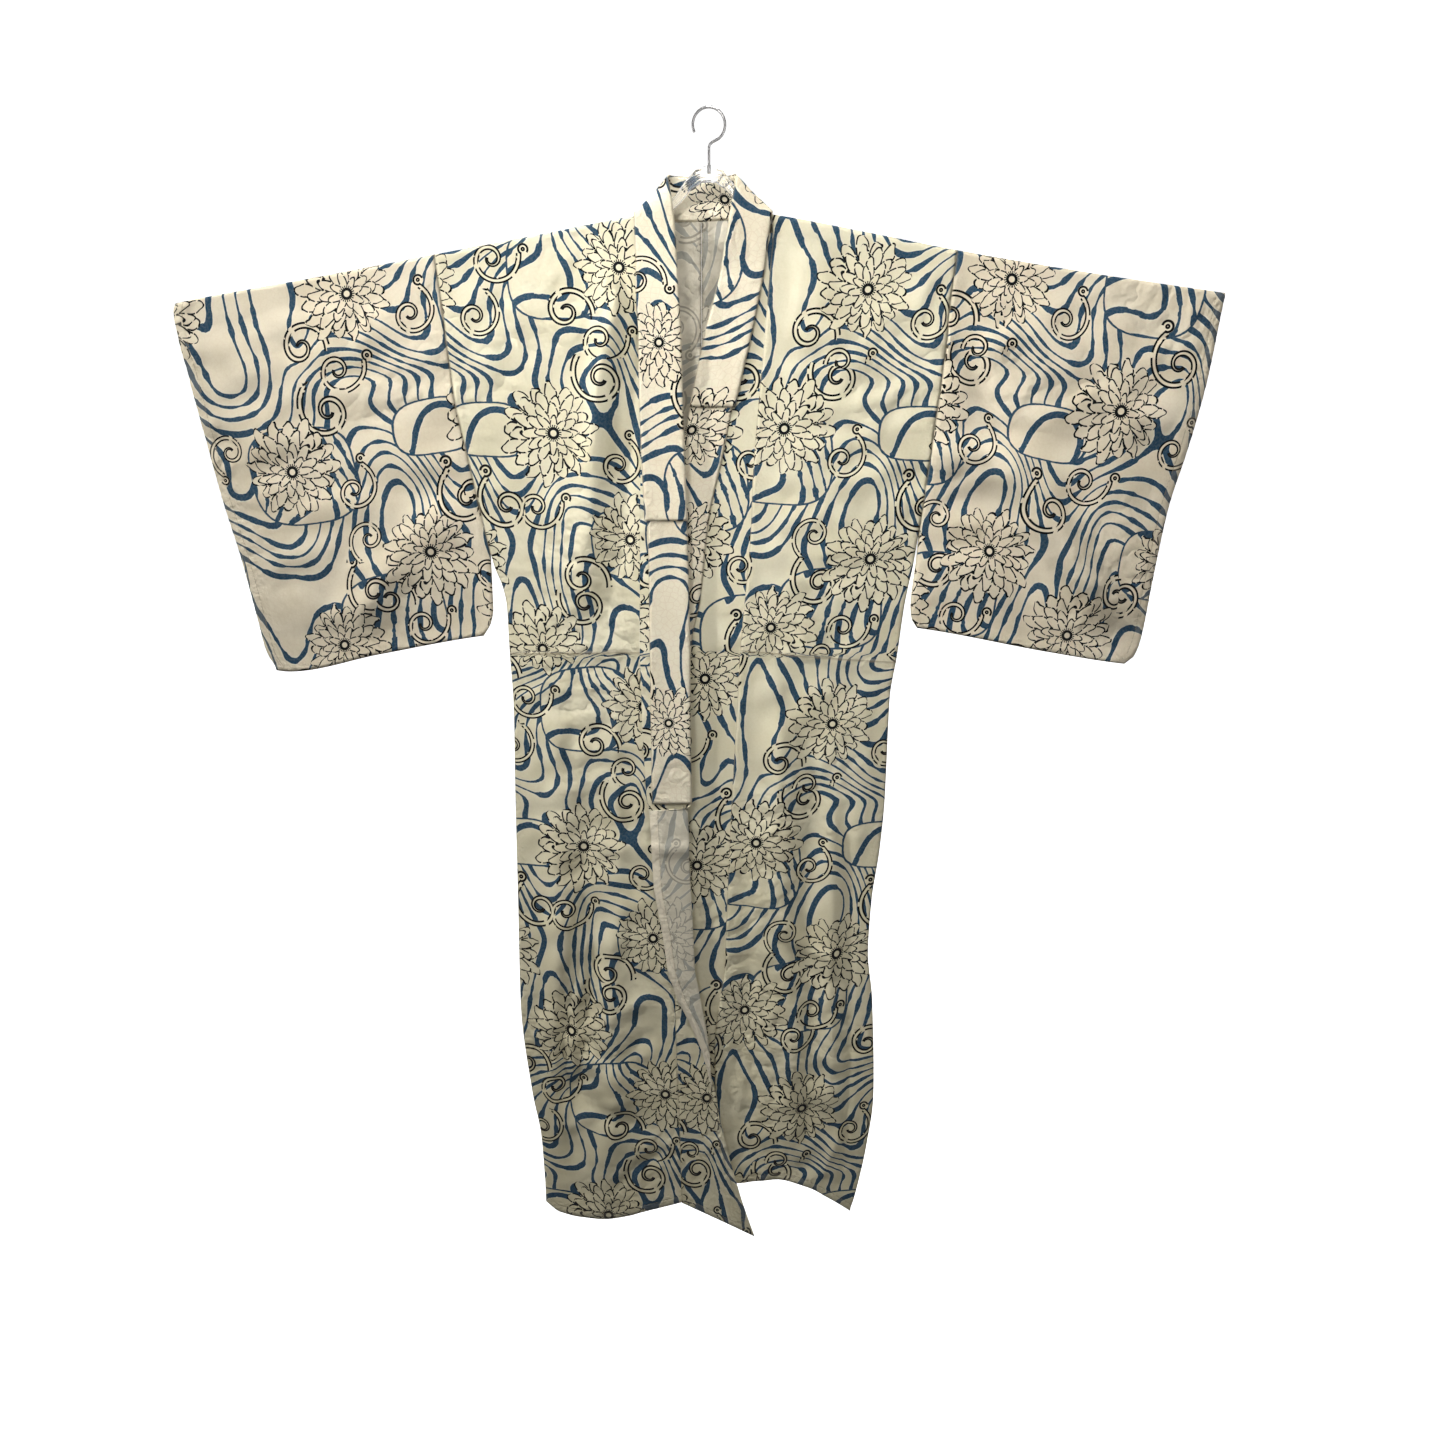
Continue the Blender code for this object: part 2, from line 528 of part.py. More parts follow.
def collar_rows():
    rows = []
    for height, seam, free, lift in COLLAR_LEFT:
        ends = []
        for x in (seam, free):
            ends.append((x, float(front_y(SIDES["left"], x, height)) - lift, height))
        rows.append(ends)
    rows.extend([list(row) for row in COLLAR_NECK])
    for height, seam, free, lift in COLLAR_RIGHT:
        ends = []
        for x in (seam, free):
            ends.append((x, float(front_y(SIDES["right"], x, height)) - lift, height))
        rows.append(ends)
    return np.array(rows, float)


def spline_rows(rows, spacing):
    """Lays rows at an even spacing along the smooth curves through the given ones."""
    rows = np.array(rows, float)
    middle = rows.mean(axis=1)
    chord = np.concatenate([[0], np.cumsum(np.linalg.norm(np.diff(middle, axis=0), axis=1) ** 0.5)])
    chord = chord / chord[-1]
    tangents = np.zeros_like(rows)
    for i in range(len(rows)):
        before = max(i - 1, 0)
        after = min(i + 1, len(rows) - 1)
        tangents[i] = (rows[after] - rows[before]) / (chord[after] - chord[before])
    fine = []
    samples = 24
    for i in range(len(rows) - 1):
        step = chord[i + 1] - chord[i]
        for t in np.linspace(0, 1, samples, endpoint=False):
            a = (1 + 2 * t) * (1 - t) ** 2 * rows[i]
            b = t * (1 - t) ** 2 * step * tangents[i]
            c = t * t * (3 - 2 * t) * rows[i + 1]
            d = t * t * (t - 1) * step * tangents[i + 1]
            fine.append(a + b + c + d)
    fine.append(rows[-1])
    fine = np.array(fine)
    centre = fine.mean(axis=1)
    lengths = np.concatenate([[0], np.cumsum(np.linalg.norm(np.diff(centre, axis=0), axis=1))])
    wanted = [0.0]
    while wanted[-1] < lengths[-1]:
        here = np.array([np.interp(wanted[-1], lengths, centre[:, i]) for i in range(3)])
        wanted.append(wanted[-1] + spacing(here))
    wanted = np.array(wanted) * lengths[-1] / wanted[-1]
    result = np.zeros((len(wanted), 2, 3))
    for end in range(2):
        for axis in range(3):
            result[:, end, axis] = np.interp(wanted, lengths, fine[:, end, axis])
    return result


def settle_on_fronts(rows):
    """Lays the collar's rows on the fronts at their lift, and leaves those round the neck as they are."""
    rows = rows.copy()
    turn = int(np.argmax(rows[:, :, 2].mean(axis=1)))
    halves = (("left", COLLAR_LEFT, slice(0, turn)), ("right", COLLAR_RIGHT, slice(turn, None)))
    for key, table, part in halves:
        lift_at = smooth_curve([(row[0], row[3]) for row in table])
        x = rows[part, :, 0]
        z = rows[part, :, 2]
        settled = front_y(SIDES[key], x, z) - lift_at(z)
        share = ease((-16.0 - z) / 4.0)
        rows[part, :, 1] = settled * share + rows[part, :, 1] * (1 - share)
    return rows


def ribbon_grid(rows, columns):
    share = np.linspace(0, 1, columns)[None, :, None]
    return rows[:, 0:1, :] * (1 - share) + rows[:, 1:2, :] * share


def cut_rows(rows, left_end, right_end):
    """Keeps the rows above the given heights, with one row laid exactly at each end."""
    heights = rows[:, :, 2].mean(axis=1)
    turn = int(np.argmax(heights))
    first = next(i for i in range(turn) if heights[i + 1] > left_end)
    last = next(i for i in range(len(rows) - 1, turn, -1) if heights[i - 1] > right_end)
    start = (left_end - heights[first]) / (heights[first + 1] - heights[first])
    stop = (right_end - heights[last]) / (heights[last - 1] - heights[last])
    first_row = rows[first] * (1 - start) + rows[first + 1] * start
    last_row = rows[last] * (1 - stop) + rows[last - 1] * stop
    return np.concatenate([[first_row], rows[first + 1 : last], [last_row]])


def overlay_grid(rows, columns):
    """The overlay lies on the collar's outer side and reaches a little beyond its seam edge on the fronts."""
    grid = ribbon_grid(rows, columns)
    normals = grid_normals(grid)
    if normals[0, 0, 1] > 0:
        normals = -normals
    grid = grid + normals * (COLLAR_WALL / 2 + OVERLAY_WALL / 2 + OVERLAY_SPACE)
    wider = OVERLAY_BEYOND * ease((-16.0 - rows[:, :1, 2]) / 8.0)
    share = np.linspace(1, 0, columns)[None, :]
    seamward = rows[:, 0:1, :] - rows[:, 1:2, :]
    seamward = seamward / np.linalg.norm(seamward, axis=2, keepdims=True)
    return grid + seamward * (wider * share)[:, :, None]


def grid_normals(grid):
    across = np.gradient(grid, axis=1)
    along = np.gradient(grid, axis=0)
    normals = np.cross(across, along)
    lengths = np.linalg.norm(normals, axis=2, keepdims=True)
    return normals / np.maximum(lengths, 1e-9)


def add_mesh(name, vertices, faces):
    mesh = bpy.data.meshes.new(name)
    mesh.from_pydata([tuple(v) for v in vertices], [], faces)
    mesh.update()
    part = bpy.data.objects.new(name, mesh)
    bpy.context.scene.collection.objects.link(part)
    return part


def cloth_solid(name, grid, wall, lower=None):
    """Gives a middle surface its wall, with closed rims all round."""
    normals = grid_normals(grid)
    outer = grid + normals * wall / 2
    inner = grid - normals * wall / 2
    row_count, column_count = grid.shape[:2]
    size = row_count * column_count
    vertices = np.concatenate([outer.reshape(-1, 3), inner.reshape(-1, 3)]) * CM
    faces = []
    for r in range(row_count - 1):
        for c in range(column_count - 1):
            a = r * column_count + c
            b = a + 1
            d = a + column_count
            e = d + 1
            faces.append((a, b, e, d))
            faces.append((size + a, size + d, size + e, size + b))
    for r in range(row_count - 1):
        for c, flip in ((0, True), (column_count - 1, False)):
            a = r * column_count + c
            d = a + column_count
            quad = (a, d, size + d, size + a)
            faces.append(quad if flip else quad[::-1])
    for c in range(column_count - 1):
        for r, flip in ((0, False), (row_count - 1, True)):
            a = r * column_count + c
            b = a + 1
            quad = (a, b, size + b, size + a)
            faces.append(quad if flip else quad[::-1])
    part = add_mesh(name, vertices, faces)
    return part


def tube_solid(name, path, radii, sides):
    """Round bar along a path in the hanger's plane; radii gives half width and half height at each point."""
    path = np.array(path, float)
    tangents = np.gradient(path, axis=0)
    tangents = tangents / np.linalg.norm(tangents, axis=1, keepdims=True)
    depth_axis = np.array([0.0, 1.0, 0.0])
    vertices = []
    for point, tangent, (wide, high) in zip(path, tangents, radii):
        up = np.cross(depth_axis, tangent)
        for i in range(sides):
            angle = 2 * math.pi * i / sides
            vertices.append(point + depth_axis * wide * math.cos(angle) + up * high * math.sin(angle))
    faces = []
    for ring in range(len(path) - 1):
        for i in range(sides):
            a = ring * sides + i
            b = ring * sides + (i + 1) % sides
            faces.append((a, b, b + sides, a + sides))
    faces.append(tuple(range(sides))[::-1])
    last = (len(path) - 1) * sides
    faces.append(tuple(last + i for i in range(sides)))
    return add_mesh(name, np.array(vertices) * CM, faces)


def face_outward(part):
    """Turns the faces of a closed body outward by the sign of its volume."""
    mesh = part.data
    volume = 0.0
    mesh.calc_loop_triangles()
    for triangle in mesh.loop_triangles:
        a, b, c = (mesh.vertices[i].co for i in triangle.vertices)
        volume += a.dot(b.cross(c)) / 6
    if volume < 0:
        mesh.flip_normals()
        mesh.update()


# Hanger: its centre line from the hub outwards on each side: x, z, half width, half height
HUB_ARC_LEFT = [
    (0.0, -7.30, 0.52, 1.05), (-1.3, -7.60, 0.52, 0.85), (-2.7, -8.75, 0.52, 0.60),
    (-4.0, -10.35, 0.52, 0.52),
    (-5.6, -11.85, 0.51, 0.51), (-7.4, -12.45, 0.51, 0.51),
]
HUB_ARC_RIGHT = [
    (1.3, -7.60, 0.52, 0.85), (2.5, -8.75, 0.52, 0.60), (3.6, -10.35, 0.52, 0.52),
    (4.9, -11.95, 0.51, 0.51), (6.3, -12.45, 0.51, 0.51),
]
ARM_RADIUS = 0.51
ARM_REACH = 20.5

# Wire hook
WIRE_RADIUS = 0.175
LOOP_RADIUS = 1.8 + WIRE_RADIUS
LOOP_CENTRE_Z = -1.8
STEM_TOP_Z = -4.3
STEM_FOOT_Z = -7.3
BORE_DEPTH_Z = -7.33


def hanger_path():
    arm = np.linspace(9.2, ARM_REACH, 7)
    left = []
    for x in arm[::-1]:
        left.append((-x, 0.0, float(top_line(-x)) - SHOULDER_ROLL, ARM_RADIUS, ARM_RADIUS))
    for x, z, wide, high in HUB_ARC_LEFT[::-1]:
        left.append((x, 0.0, z, wide, high))
    for x, z, wide, high in HUB_ARC_RIGHT:
        left.append((x, 0.0, z, wide, high))
    for x in arm - 1.0:
        left.append((x, 0.0, float(top_line(x)) - SHOULDER_ROLL, ARM_RADIUS, ARM_RADIUS))
    rows = np.array(left)
    start = rows[0].copy()
    end = rows[-1].copy()
    tips = []
    for share, size in ((1.0, 0.35), (0.75, 0.72)):
        tip = start.copy()
        tip[0] -= share * 0.45
        tip[2] -= share * 0.08
        tip[3:] *= size
        tips.append(tip)
    far = []
    for share, size in ((0.75, 0.72), (1.0, 0.35)):
        tip = end.copy()
        tip[0] += share * 0.45
        tip[2] -= share * 0.08
        tip[3:] *= size
        far.append(tip)
    return np.array(tips + list(rows) + far)


def build_hanger():
    rows = hanger_path()
    hanger = tube_solid("hanger", rows[:, :3], rows[:, 3:], 12)
    face_outward(hanger)
    bore_radius = WIRE_RADIUS + SEAM
    bore = tube_solid(
        "bore",
        [(0.0, 0.0, BORE_DEPTH_Z), (0.0, 0.0, -5.5)],
        [(bore_radius, bore_radius)] * 2,
        10,
    )
    face_outward(bore)
    cut = hanger.modifiers.new("wire_bore", "BOOLEAN")
    cut.operation = "DIFFERENCE"
    cut.solver = "EXACT"
    cut.object = bore
    graph = bpy.context.evaluated_depsgraph_get()
    mesh = bpy.data.meshes.new_from_object(hanger.evaluated_get(graph))
    hanger.modifiers.clear()
    hanger.data = mesh
    bpy.data.objects.remove(bore)


def build_hook():
    points = [(0.0, 0.0, STEM_FOOT_Z), (0.0, 0.0, -6.2), (0.0, 0.0, -5.2), (0.0, 0.0, STEM_TOP_Z)]
    points += [(0.12, 0.0, -3.98), (0.45, 0.0, -3.72), (0.85, 0.0, -3.52)]
    for degrees in range(-50, 216, 15):
        angle = math.radians(degrees)
        points.append((LOOP_RADIUS * math.cos(angle), 0.0, LOOP_CENTRE_Z + LOOP_RADIUS * math.sin(angle)))
    hook = tube_solid("hook", points, [(WIRE_RADIUS, WIRE_RADIUS)] * len(points), 10)
    face_outward(hook)


def collar_spacing(point):
    return 1.3 if point[2] > -17.0 else 4.5


def body_girths():
    roll = [SHOULDER_ROLL * math.radians(a) for a in (30, 60, 90)]
    upper = [1.6, 2.4, 4.5, 7.5, 11.0, 15.0, 19.5, 24.0, 29.0, 34.0, 38.2, 40.0, 44.0, 48.5, 51.8]
    tuck = [54.0, 54.9, 57.0]
    lower = list(np.linspace(62.0, 139.0, 14))
    return roll + upper + tuck + lower


def build_bodies():
    down = body_girths()
    back = [-g for g in down[::-1]]
    neck = [-1.45, -1.25]
    girths_back = sorted(set(back) | set(neck))
    for key in ("left", "right"):
        grid = body_grid(SIDES[key], 13, girths_back + [0.0] + down)
        face_outward(cloth_solid("body_" + key, grid, WALL))


def build_sleeves():
    front = [0.011, 0.0215, 0.05, 0.10, 0.18, 0.28, 0.38, 0.48, 0.58, 0.68, 0.78, 0.85, 0.91, 0.96, 0.985, 1.0]
    shares = [-s for s in front[::-1]] + [0.0] + front
    grid = sleeve_grid(-1, arm_left, CUFF_LEFT, SLEEVE_FOOT_LEFT, 12, shares)
    face_outward(cloth_solid("sleeve_left", grid, WALL))
    grid = sleeve_grid(1, arm_right, CUFF_RIGHT, SLEEVE_FOOT_RIGHT, 12, shares)
    face_outward(cloth_solid("sleeve_right", grid, WALL))


def build_overlap_panels():
    face_outward(cloth_solid("okumi_left", okumi_left_grid(OKUMI_LEFT_HEIGHTS), WALL))
    heights = list(np.linspace(-14.2, -146.5, 30))
    face_outward(cloth_solid("okumi_right", okumi_right_grid(7, heights), WALL))


def build_collar():
    rows = settle_on_fronts(spline_rows(collar_rows(), collar_spacing))
    face_outward(cloth_solid("collar", ribbon_grid(rows, 5), COLLAR_WALL))
    overlay = cut_rows(rows, OVERLAY_END_LEFT, OVERLAY_END_RIGHT)
    face_outward(cloth_solid("collar_overlay", overlay_grid(overlay, 5), OVERLAY_WALL))


# Finish of each sub-part as the photograph shows it: colour, roughness, metallic, share of light let through
FINISHES = {
    "body_left": ((0.72, 0.61, 0.39), 0.90, 0.0, 0.0),
    "body_right": ((0.71, 0.60, 0.38), 0.90, 0.0, 0.0),
    "okumi_left": ((0.73, 0.62, 0.41), 0.90, 0.0, 0.0),
    "okumi_right": ((0.68, 0.57, 0.36), 0.90, 0.0, 0.0),
    "sleeve_left": ((0.72, 0.61, 0.40), 0.90, 0.0, 0.0),
    "sleeve_right": ((0.70, 0.59, 0.38), 0.90, 0.0, 0.0),
    "collar": ((0.72, 0.56, 0.37), 0.88, 0.0, 0.0),
    "collar_overlay": ((0.73, 0.56, 0.38), 0.88, 0.0, 0.0),
    "hanger": ((0.90, 0.89, 0.86), 0.12, 0.0, 0.9),
    "hook": ((0.42, 0.41, 0.40), 0.32, 1.0, 0.0),
}


def give_material(name, finish):
    """Gives one sub-part a material of its own."""
    colour, roughness, metallic, clear = finish
    material = bpy.data.materials.new(name + "_finish")
    material.use_nodes = True
    material.diffuse_color = (*colour, 1.0)
    shader = material.node_tree.nodes["Principled BSDF"]
    shader.inputs["Base Color"].default_value = (*colour, 1.0)
    shader.inputs["Roughness"].default_value = roughness
    shader.inputs["Metallic"].default_value = metallic
    shader.inputs["Transmission Weight"].default_value = clear
    mesh = bpy.data.objects[name].data
    mesh.materials.clear()
    mesh.materials.append(material)


def build():
    build_bodies()
    build_sleeves()
    build_overlap_panels()
    build_collar()
    build_hanger()
    build_hook()
    for name, finish in FINISHES.items():
        give_material(name, finish)


for old in list(bpy.data.objects):
    bpy.data.objects.remove(old)
build()
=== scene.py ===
# Looks of the cotton yukata: every cut-and-sewn piece as a thin shell of printed cloth on its solid's form.
# Tables are in centimetres from the inner crown of the hook, with x to the right as seen from the front,
# z up and y away from the viewer.

import math

import bpy
import numpy as np
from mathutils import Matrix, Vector


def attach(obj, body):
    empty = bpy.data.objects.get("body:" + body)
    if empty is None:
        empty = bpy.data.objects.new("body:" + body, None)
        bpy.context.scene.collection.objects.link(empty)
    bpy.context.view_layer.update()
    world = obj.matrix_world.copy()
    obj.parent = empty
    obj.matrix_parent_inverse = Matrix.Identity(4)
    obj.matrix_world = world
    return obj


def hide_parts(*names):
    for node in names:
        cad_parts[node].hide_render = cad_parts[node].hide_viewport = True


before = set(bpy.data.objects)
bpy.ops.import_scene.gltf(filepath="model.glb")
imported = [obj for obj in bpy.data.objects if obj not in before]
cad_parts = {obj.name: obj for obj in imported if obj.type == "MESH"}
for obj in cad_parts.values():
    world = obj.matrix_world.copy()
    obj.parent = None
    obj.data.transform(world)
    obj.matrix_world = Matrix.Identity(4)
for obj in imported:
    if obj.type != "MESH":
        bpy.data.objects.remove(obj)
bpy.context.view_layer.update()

CM = 0.01

# Wall thicknesses, and the space left at every seam
COLLAR_WALL = 0.20
OVERLAY_WALL = 0.14
SEAM = 0.03

# The cloth turns over the hanger's arms with this radius, taken at the middle of the wall
SHOULDER_ROLL = 0.65
CUFF_ROLL = 0.42
HALF_TURN = math.pi / 2

# Closed edges keep front and back this far from the middle plane
CLOSED = 0.045
CENTRE_X = -1.0

# Depth of the middle of each layer in front of (minus) or behind (plus) the hanger's plane
LEFT_FRONT_DEPTH = 1.55
RIGHT_FRONT_DEPTH = 0.95
BACK_DEPTH = 1.25
LAYER = 0.20
FOLD_RADIUS = 0.12

# Top edge of shoulders and sleeves: x, z
TOP_LINE = [
    (-67.4, -22.4), (-66, -22.1), (-50, -19.4), (-34.2, -16.6), (-20, -14.1), (-8.9, -12.1), (-4, -11.6),
    (3, -11.4), (7.3, -11.9), (20, -14.1), (30.8, -16.1), (48, -18.8), (64.7, -21.1),
]

# Armholes, and the free inner edge of each sleeve below them: x, z
ARMHOLE_LEFT = [
    (-34.2, -16.6), (-33.4, -24.3), (-32.5, -33.8), (-31, -42), (-29.8, -48.8), (-28.9, -54.3),
    (-28.9, -60.6), (-29.3, -62.6), (-30.4, -64.4),
]
ARMHOLE_RIGHT = [
    (30.8, -16.1), (29.9, -26.7), (28.8, -37.7), (27.6, -49.1), (27.2, -54.3), (26.7, -60.3), (26.9, -62),
    (27.7, -63.3),
]
ARMHOLE_END = -54.3

# Cuff edges and lower edges of the sleeves: x, z
CUFF_LEFT = [
    (-67.1, -22.3), (-67.4, -23.5), (-67.1, -26), (-65.6, -34), (-63.8, -45.5), (-61.9, -54),
    (-60.4, -62.5), (-59.8, -66.1), (-58.6, -68.6),
]
CUFF_RIGHT = [
    (64.7, -21.1), (63.5, -30), (61.4, -41.3), (59.9, -47.9), (58.7, -56.9), (57.9, -64.1), (57.2, -66.8),
    (55.9, -68),
]
SLEEVE_FOOT_LEFT = [(-59.8, -68.7), (-56.8, -69.1), (-44.5, -66.8), (-30.8, -64.4), (-28.9, -64.2)]
SLEEVE_FOOT_RIGHT = [(26.7, -63.2), (27.7, -63.3), (45.7, -66.5), (55.6, -68), (57.9, -68.2)]
CUFF_OPENING_END = -46.0

# Side seams below the armholes: x, z
SIDE_LEFT = [
    (-28.6, -54.9), (-27.5, -58), (-27.1, -60.5), (-27, -67), (-26.8, -73), (-27.1, -87), (-27.3, -102),
    (-27.5, -117), (-26.3, -133), (-25.2, -141.5), (-24.9, -150),
]
SIDE_RIGHT = [
    (26.9, -54.9), (26.3, -58), (25.9, -60.5), (25.2, -67), (24.4, -73), (24.2, -87), (23.7, -94.5),
    (22.8, -102), (22.5, -109.5), (23.3, -117), (23.9, -133), (23.1, -141.5), (21.6, -150), (21, -152.3),
]

# Inner edges of the fronts, where the overlap panels and the collar are sewn on: x, z
FRONT_EDGE_LEFT = [
    (-8.9, -12.1), (-8.8, -14), (-8.6, -17), (-8.1, -21), (-7.8, -26), (-7.4, -34), (-7.2, -50),
    (-7.2, -86), (-6.9, -92), (-6.2, -100), (-5.5, -106), (-5, -112), (-4.8, -122), (-4.4, -134),
    (-4.1, -149),
]
FRONT_EDGE_RIGHT = [
    (7.7, -12.1), (7.9, -14), (7.6, -18), (7, -25.7), (5.5, -45.4), (5.4, -49.1), (4, -66.8), (3.5, -76.4),
    (2.8, -89.8), (2.3, -102.1), (1.9, -112.6), (1.3, -116.7), (0.5, -124.6), (0.6, -134), (2, -146.5),
]

# Back neck, from the centre seam to the shoulder: x, girth measured back from the shoulder fold
BACK_NECK_LEFT = [(-1, -1.55), (-4, -1.4), (-6.6, -1), (-8.2, -0.55), (-8.9, 0)]
BACK_NECK_RIGHT = [(-1, -1.55), (2.2, -1.4), (5.2, -1), (6.9, -0.5), (7.7, 0)]

# Hems: x, z
HEM_LEFT = [(-24.9, -149.7), (-22.7, -151.2), (-16.7, -152), (-10.7, -150.8), (-3.2, -148.8)]
HEM_RIGHT = [(0, -146.8), (5, -146.3), (10.2, -145.8), (13.2, -146.6), (17.8, -149.2), (21.2, -151.8)]
HEM_BACK = [(-24.9, -149.7), (-15, -150), (-1, -147.2), (10, -146.6), (16, -148.6), (21.2, -151.8)]

# Waist tuck: the cloth above it stands a little in front of the cloth below
TUCK_LEFT = [(-27, -66.7), (-9.3, -66.3)]
TUCK_RIGHT = [(3.7, -66.1), (14.7, -67.1), (25.2, -67.9)]
TUCK_STEP = 0.10
TUCK_RISE = 0.35

# Largest folds of the front: half width, height towards the viewer, then the points of the path
FRONT_FOLDS = [
    (2.6, 0.75, (-9.8, -19), (-12.4, -26.8), (-13.6, -30.6), (-14.6, -38.4), (-16.6, -48.8), (-18.2, -62)),
    (2, -0.3, (-9.9, -29), (-10.8, -38), (-12.4, -50), (-13.6, -62)),
    (1.9, -0.7, (-15.4, -98), (-17.3, -107.3), (-19.1, -119.6), (-20.4, -133.9), (-20.8, -146)),
    (2.2, 0.55, (-19.6, -98), (-21.4, -108), (-23, -120), (-23.4, -136), (-23.2, -148)),
    (2.8, 0.35, (-12.6, -90), (-13.4, -108), (-14.6, -126), (-15, -150)),
    (3.2, 0.3, (11, -17), (13, -34), (12.4, -56)),
    (3, 0.3, (9, -72), (8.2, -100), (9.6, -146)),
    (2.4, 0.55, (17.6, -84), (16.6, -106), (17.8, -128), (18.6, -150)),
    (2.6, -0.35, (29.6, -19), (33, -27), (36.5, -36), (38.5, -43)),
    (2.6, 0.7, (36, -38.5), (38.7, -43.7), (44.8, -51.7), (51.8, -59.8), (54.6, -64)),
    (2.8, -0.3, (34, -44), (38, -51.5), (44.5, -59)),
    (3.6, 0.3, (-36, -36), (-44, -50), (-47, -62)),
    (3.6, -0.25, (-52, -30), (-53, -44), (-50, -60)),
]

# Largest folds of the back, with the same columns
BACK_FOLDS = [
    (3.2, 0.35, (-12, -22), (-14, -60), (-15, -148)),
    (3.2, 0.35, (10, -22), (12, -60), (13, -148)),
    (2.8, -0.25, (-6.5, -80), (-7.5, -148)),
    (2.8, -0.25, (5.5, -70), (6, -148)),
    (4, 0.3, (-38, -30), (-46, -58)),
    (4, 0.3, (36, -30), (44, -58)),
]

# A fold fades out over this share of its path at the end, and has this much of its fade behind it there
FADE_SHARE = 0.15
FADE_LEFT = 0.35


def hermite(t, step, start, end, leaving, arriving):
    """Smooth curve between two values with the given slopes."""
    a = (1 + 2 * t) * (1 - t) ** 2 * start
    b = t * (1 - t) ** 2 * step * leaving
    c = t * t * (3 - 2 * t) * end
    d = t * t * (t - 1) * step * arriving
    return a + b + c + d


def smooth_curve(table):
    """Smooth function through (input, value) pairs that never overshoots them."""
    pairs = sorted(table)
    xs = np.array([pair[0] for pair in pairs], float)
    ys = np.array([pair[1] for pair in pairs], float)
    steps = np.diff(xs)
    slopes = np.diff(ys) / steps
    tangents = np.zeros_like(ys)
    tangents[0] = slopes[0]
    tangents[-1] = slopes[-1]
    for i in range(1, len(ys) - 1):
        before, after = slopes[i - 1], slopes[i]
        if before * after > 0:
            tangents[i] = 2 * before * after / (before + after)

    def value(x):
        x = np.clip(np.asarray(x, float), xs[0], xs[-1])
        i = np.clip(np.searchsorted(xs, x) - 1, 0, len(steps) - 1)
        t = (x - xs[i]) / steps[i]
        return hermite(t, steps[i], ys[i], ys[i + 1], tangents[i], tangents[i + 1])

    return value


def ease(t):
    """Runs smoothly from 0 to 1 while t does."""
    t = np.clip(t, 0.0, 1.0)
    return t * t * (3 - 2 * t)


top_line = smooth_curve(TOP_LINE)


def girth_to_z(x, girth, roll):
    """Height of a point that lies this far from the shoulder fold, measured over the roll."""
    away = np.abs(girth)
    on_roll = away < HALF_TURN * roll
    return np.where(
        on_roll,
        top_line(x) - roll * (1 - np.cos(away / roll)),
        top_line(x) - roll - (away - HALF_TURN * roll),
    )


def z_to_girth(x, z, roll):
    return top_line(x) - z - roll + HALF_TURN * roll


def edge_by_girth(points):
    """Turns an edge drawn in x and z into x as a function of the girth."""
    return smooth_curve([(max(0.0, float(z_to_girth(x, z, SHOULDER_ROLL))), x) for x, z in points])


def path_distance(x, z, path):
    """Distance to a path, and how far along it the nearest point is (0 to 1)."""
    points = np.array(path, float)
    lengths = np.hypot(*np.diff(points, axis=0).T)
    total = lengths.sum()
    best = np.full(np.shape(x), 1e9)
    along = np.zeros(np.shape(x))
    start = 0.0
    for (ax, az), (bx, bz), length in zip(points[:-1], points[1:], lengths):
        t = np.clip(((x - ax) * (bx - ax) + (z - az) * (bz - az)) / length**2, 0, 1)
        distance = np.hypot(x - ax - t * (bx - ax), z - az - t * (bz - az))
        nearer = distance < best
        best = np.where(nearer, distance, best)
        along = np.where(nearer, (start + t * length) / total, along)
        start += length
    return best, along


def fold_relief(x, z, folds):
    """Height that a list of folds gives at a point, each one fading out at its ends."""
    relief = np.zeros(np.shape(x))
    for half_width, height, *path in folds:
        distance, along = path_distance(x, z, path)
        fade = ease(along / FADE_SHARE) * ease((1 - along) / FADE_SHARE + FADE_LEFT)
        relief = relief + height * fade * np.exp(-((distance / half_width) ** 2))
    return relief


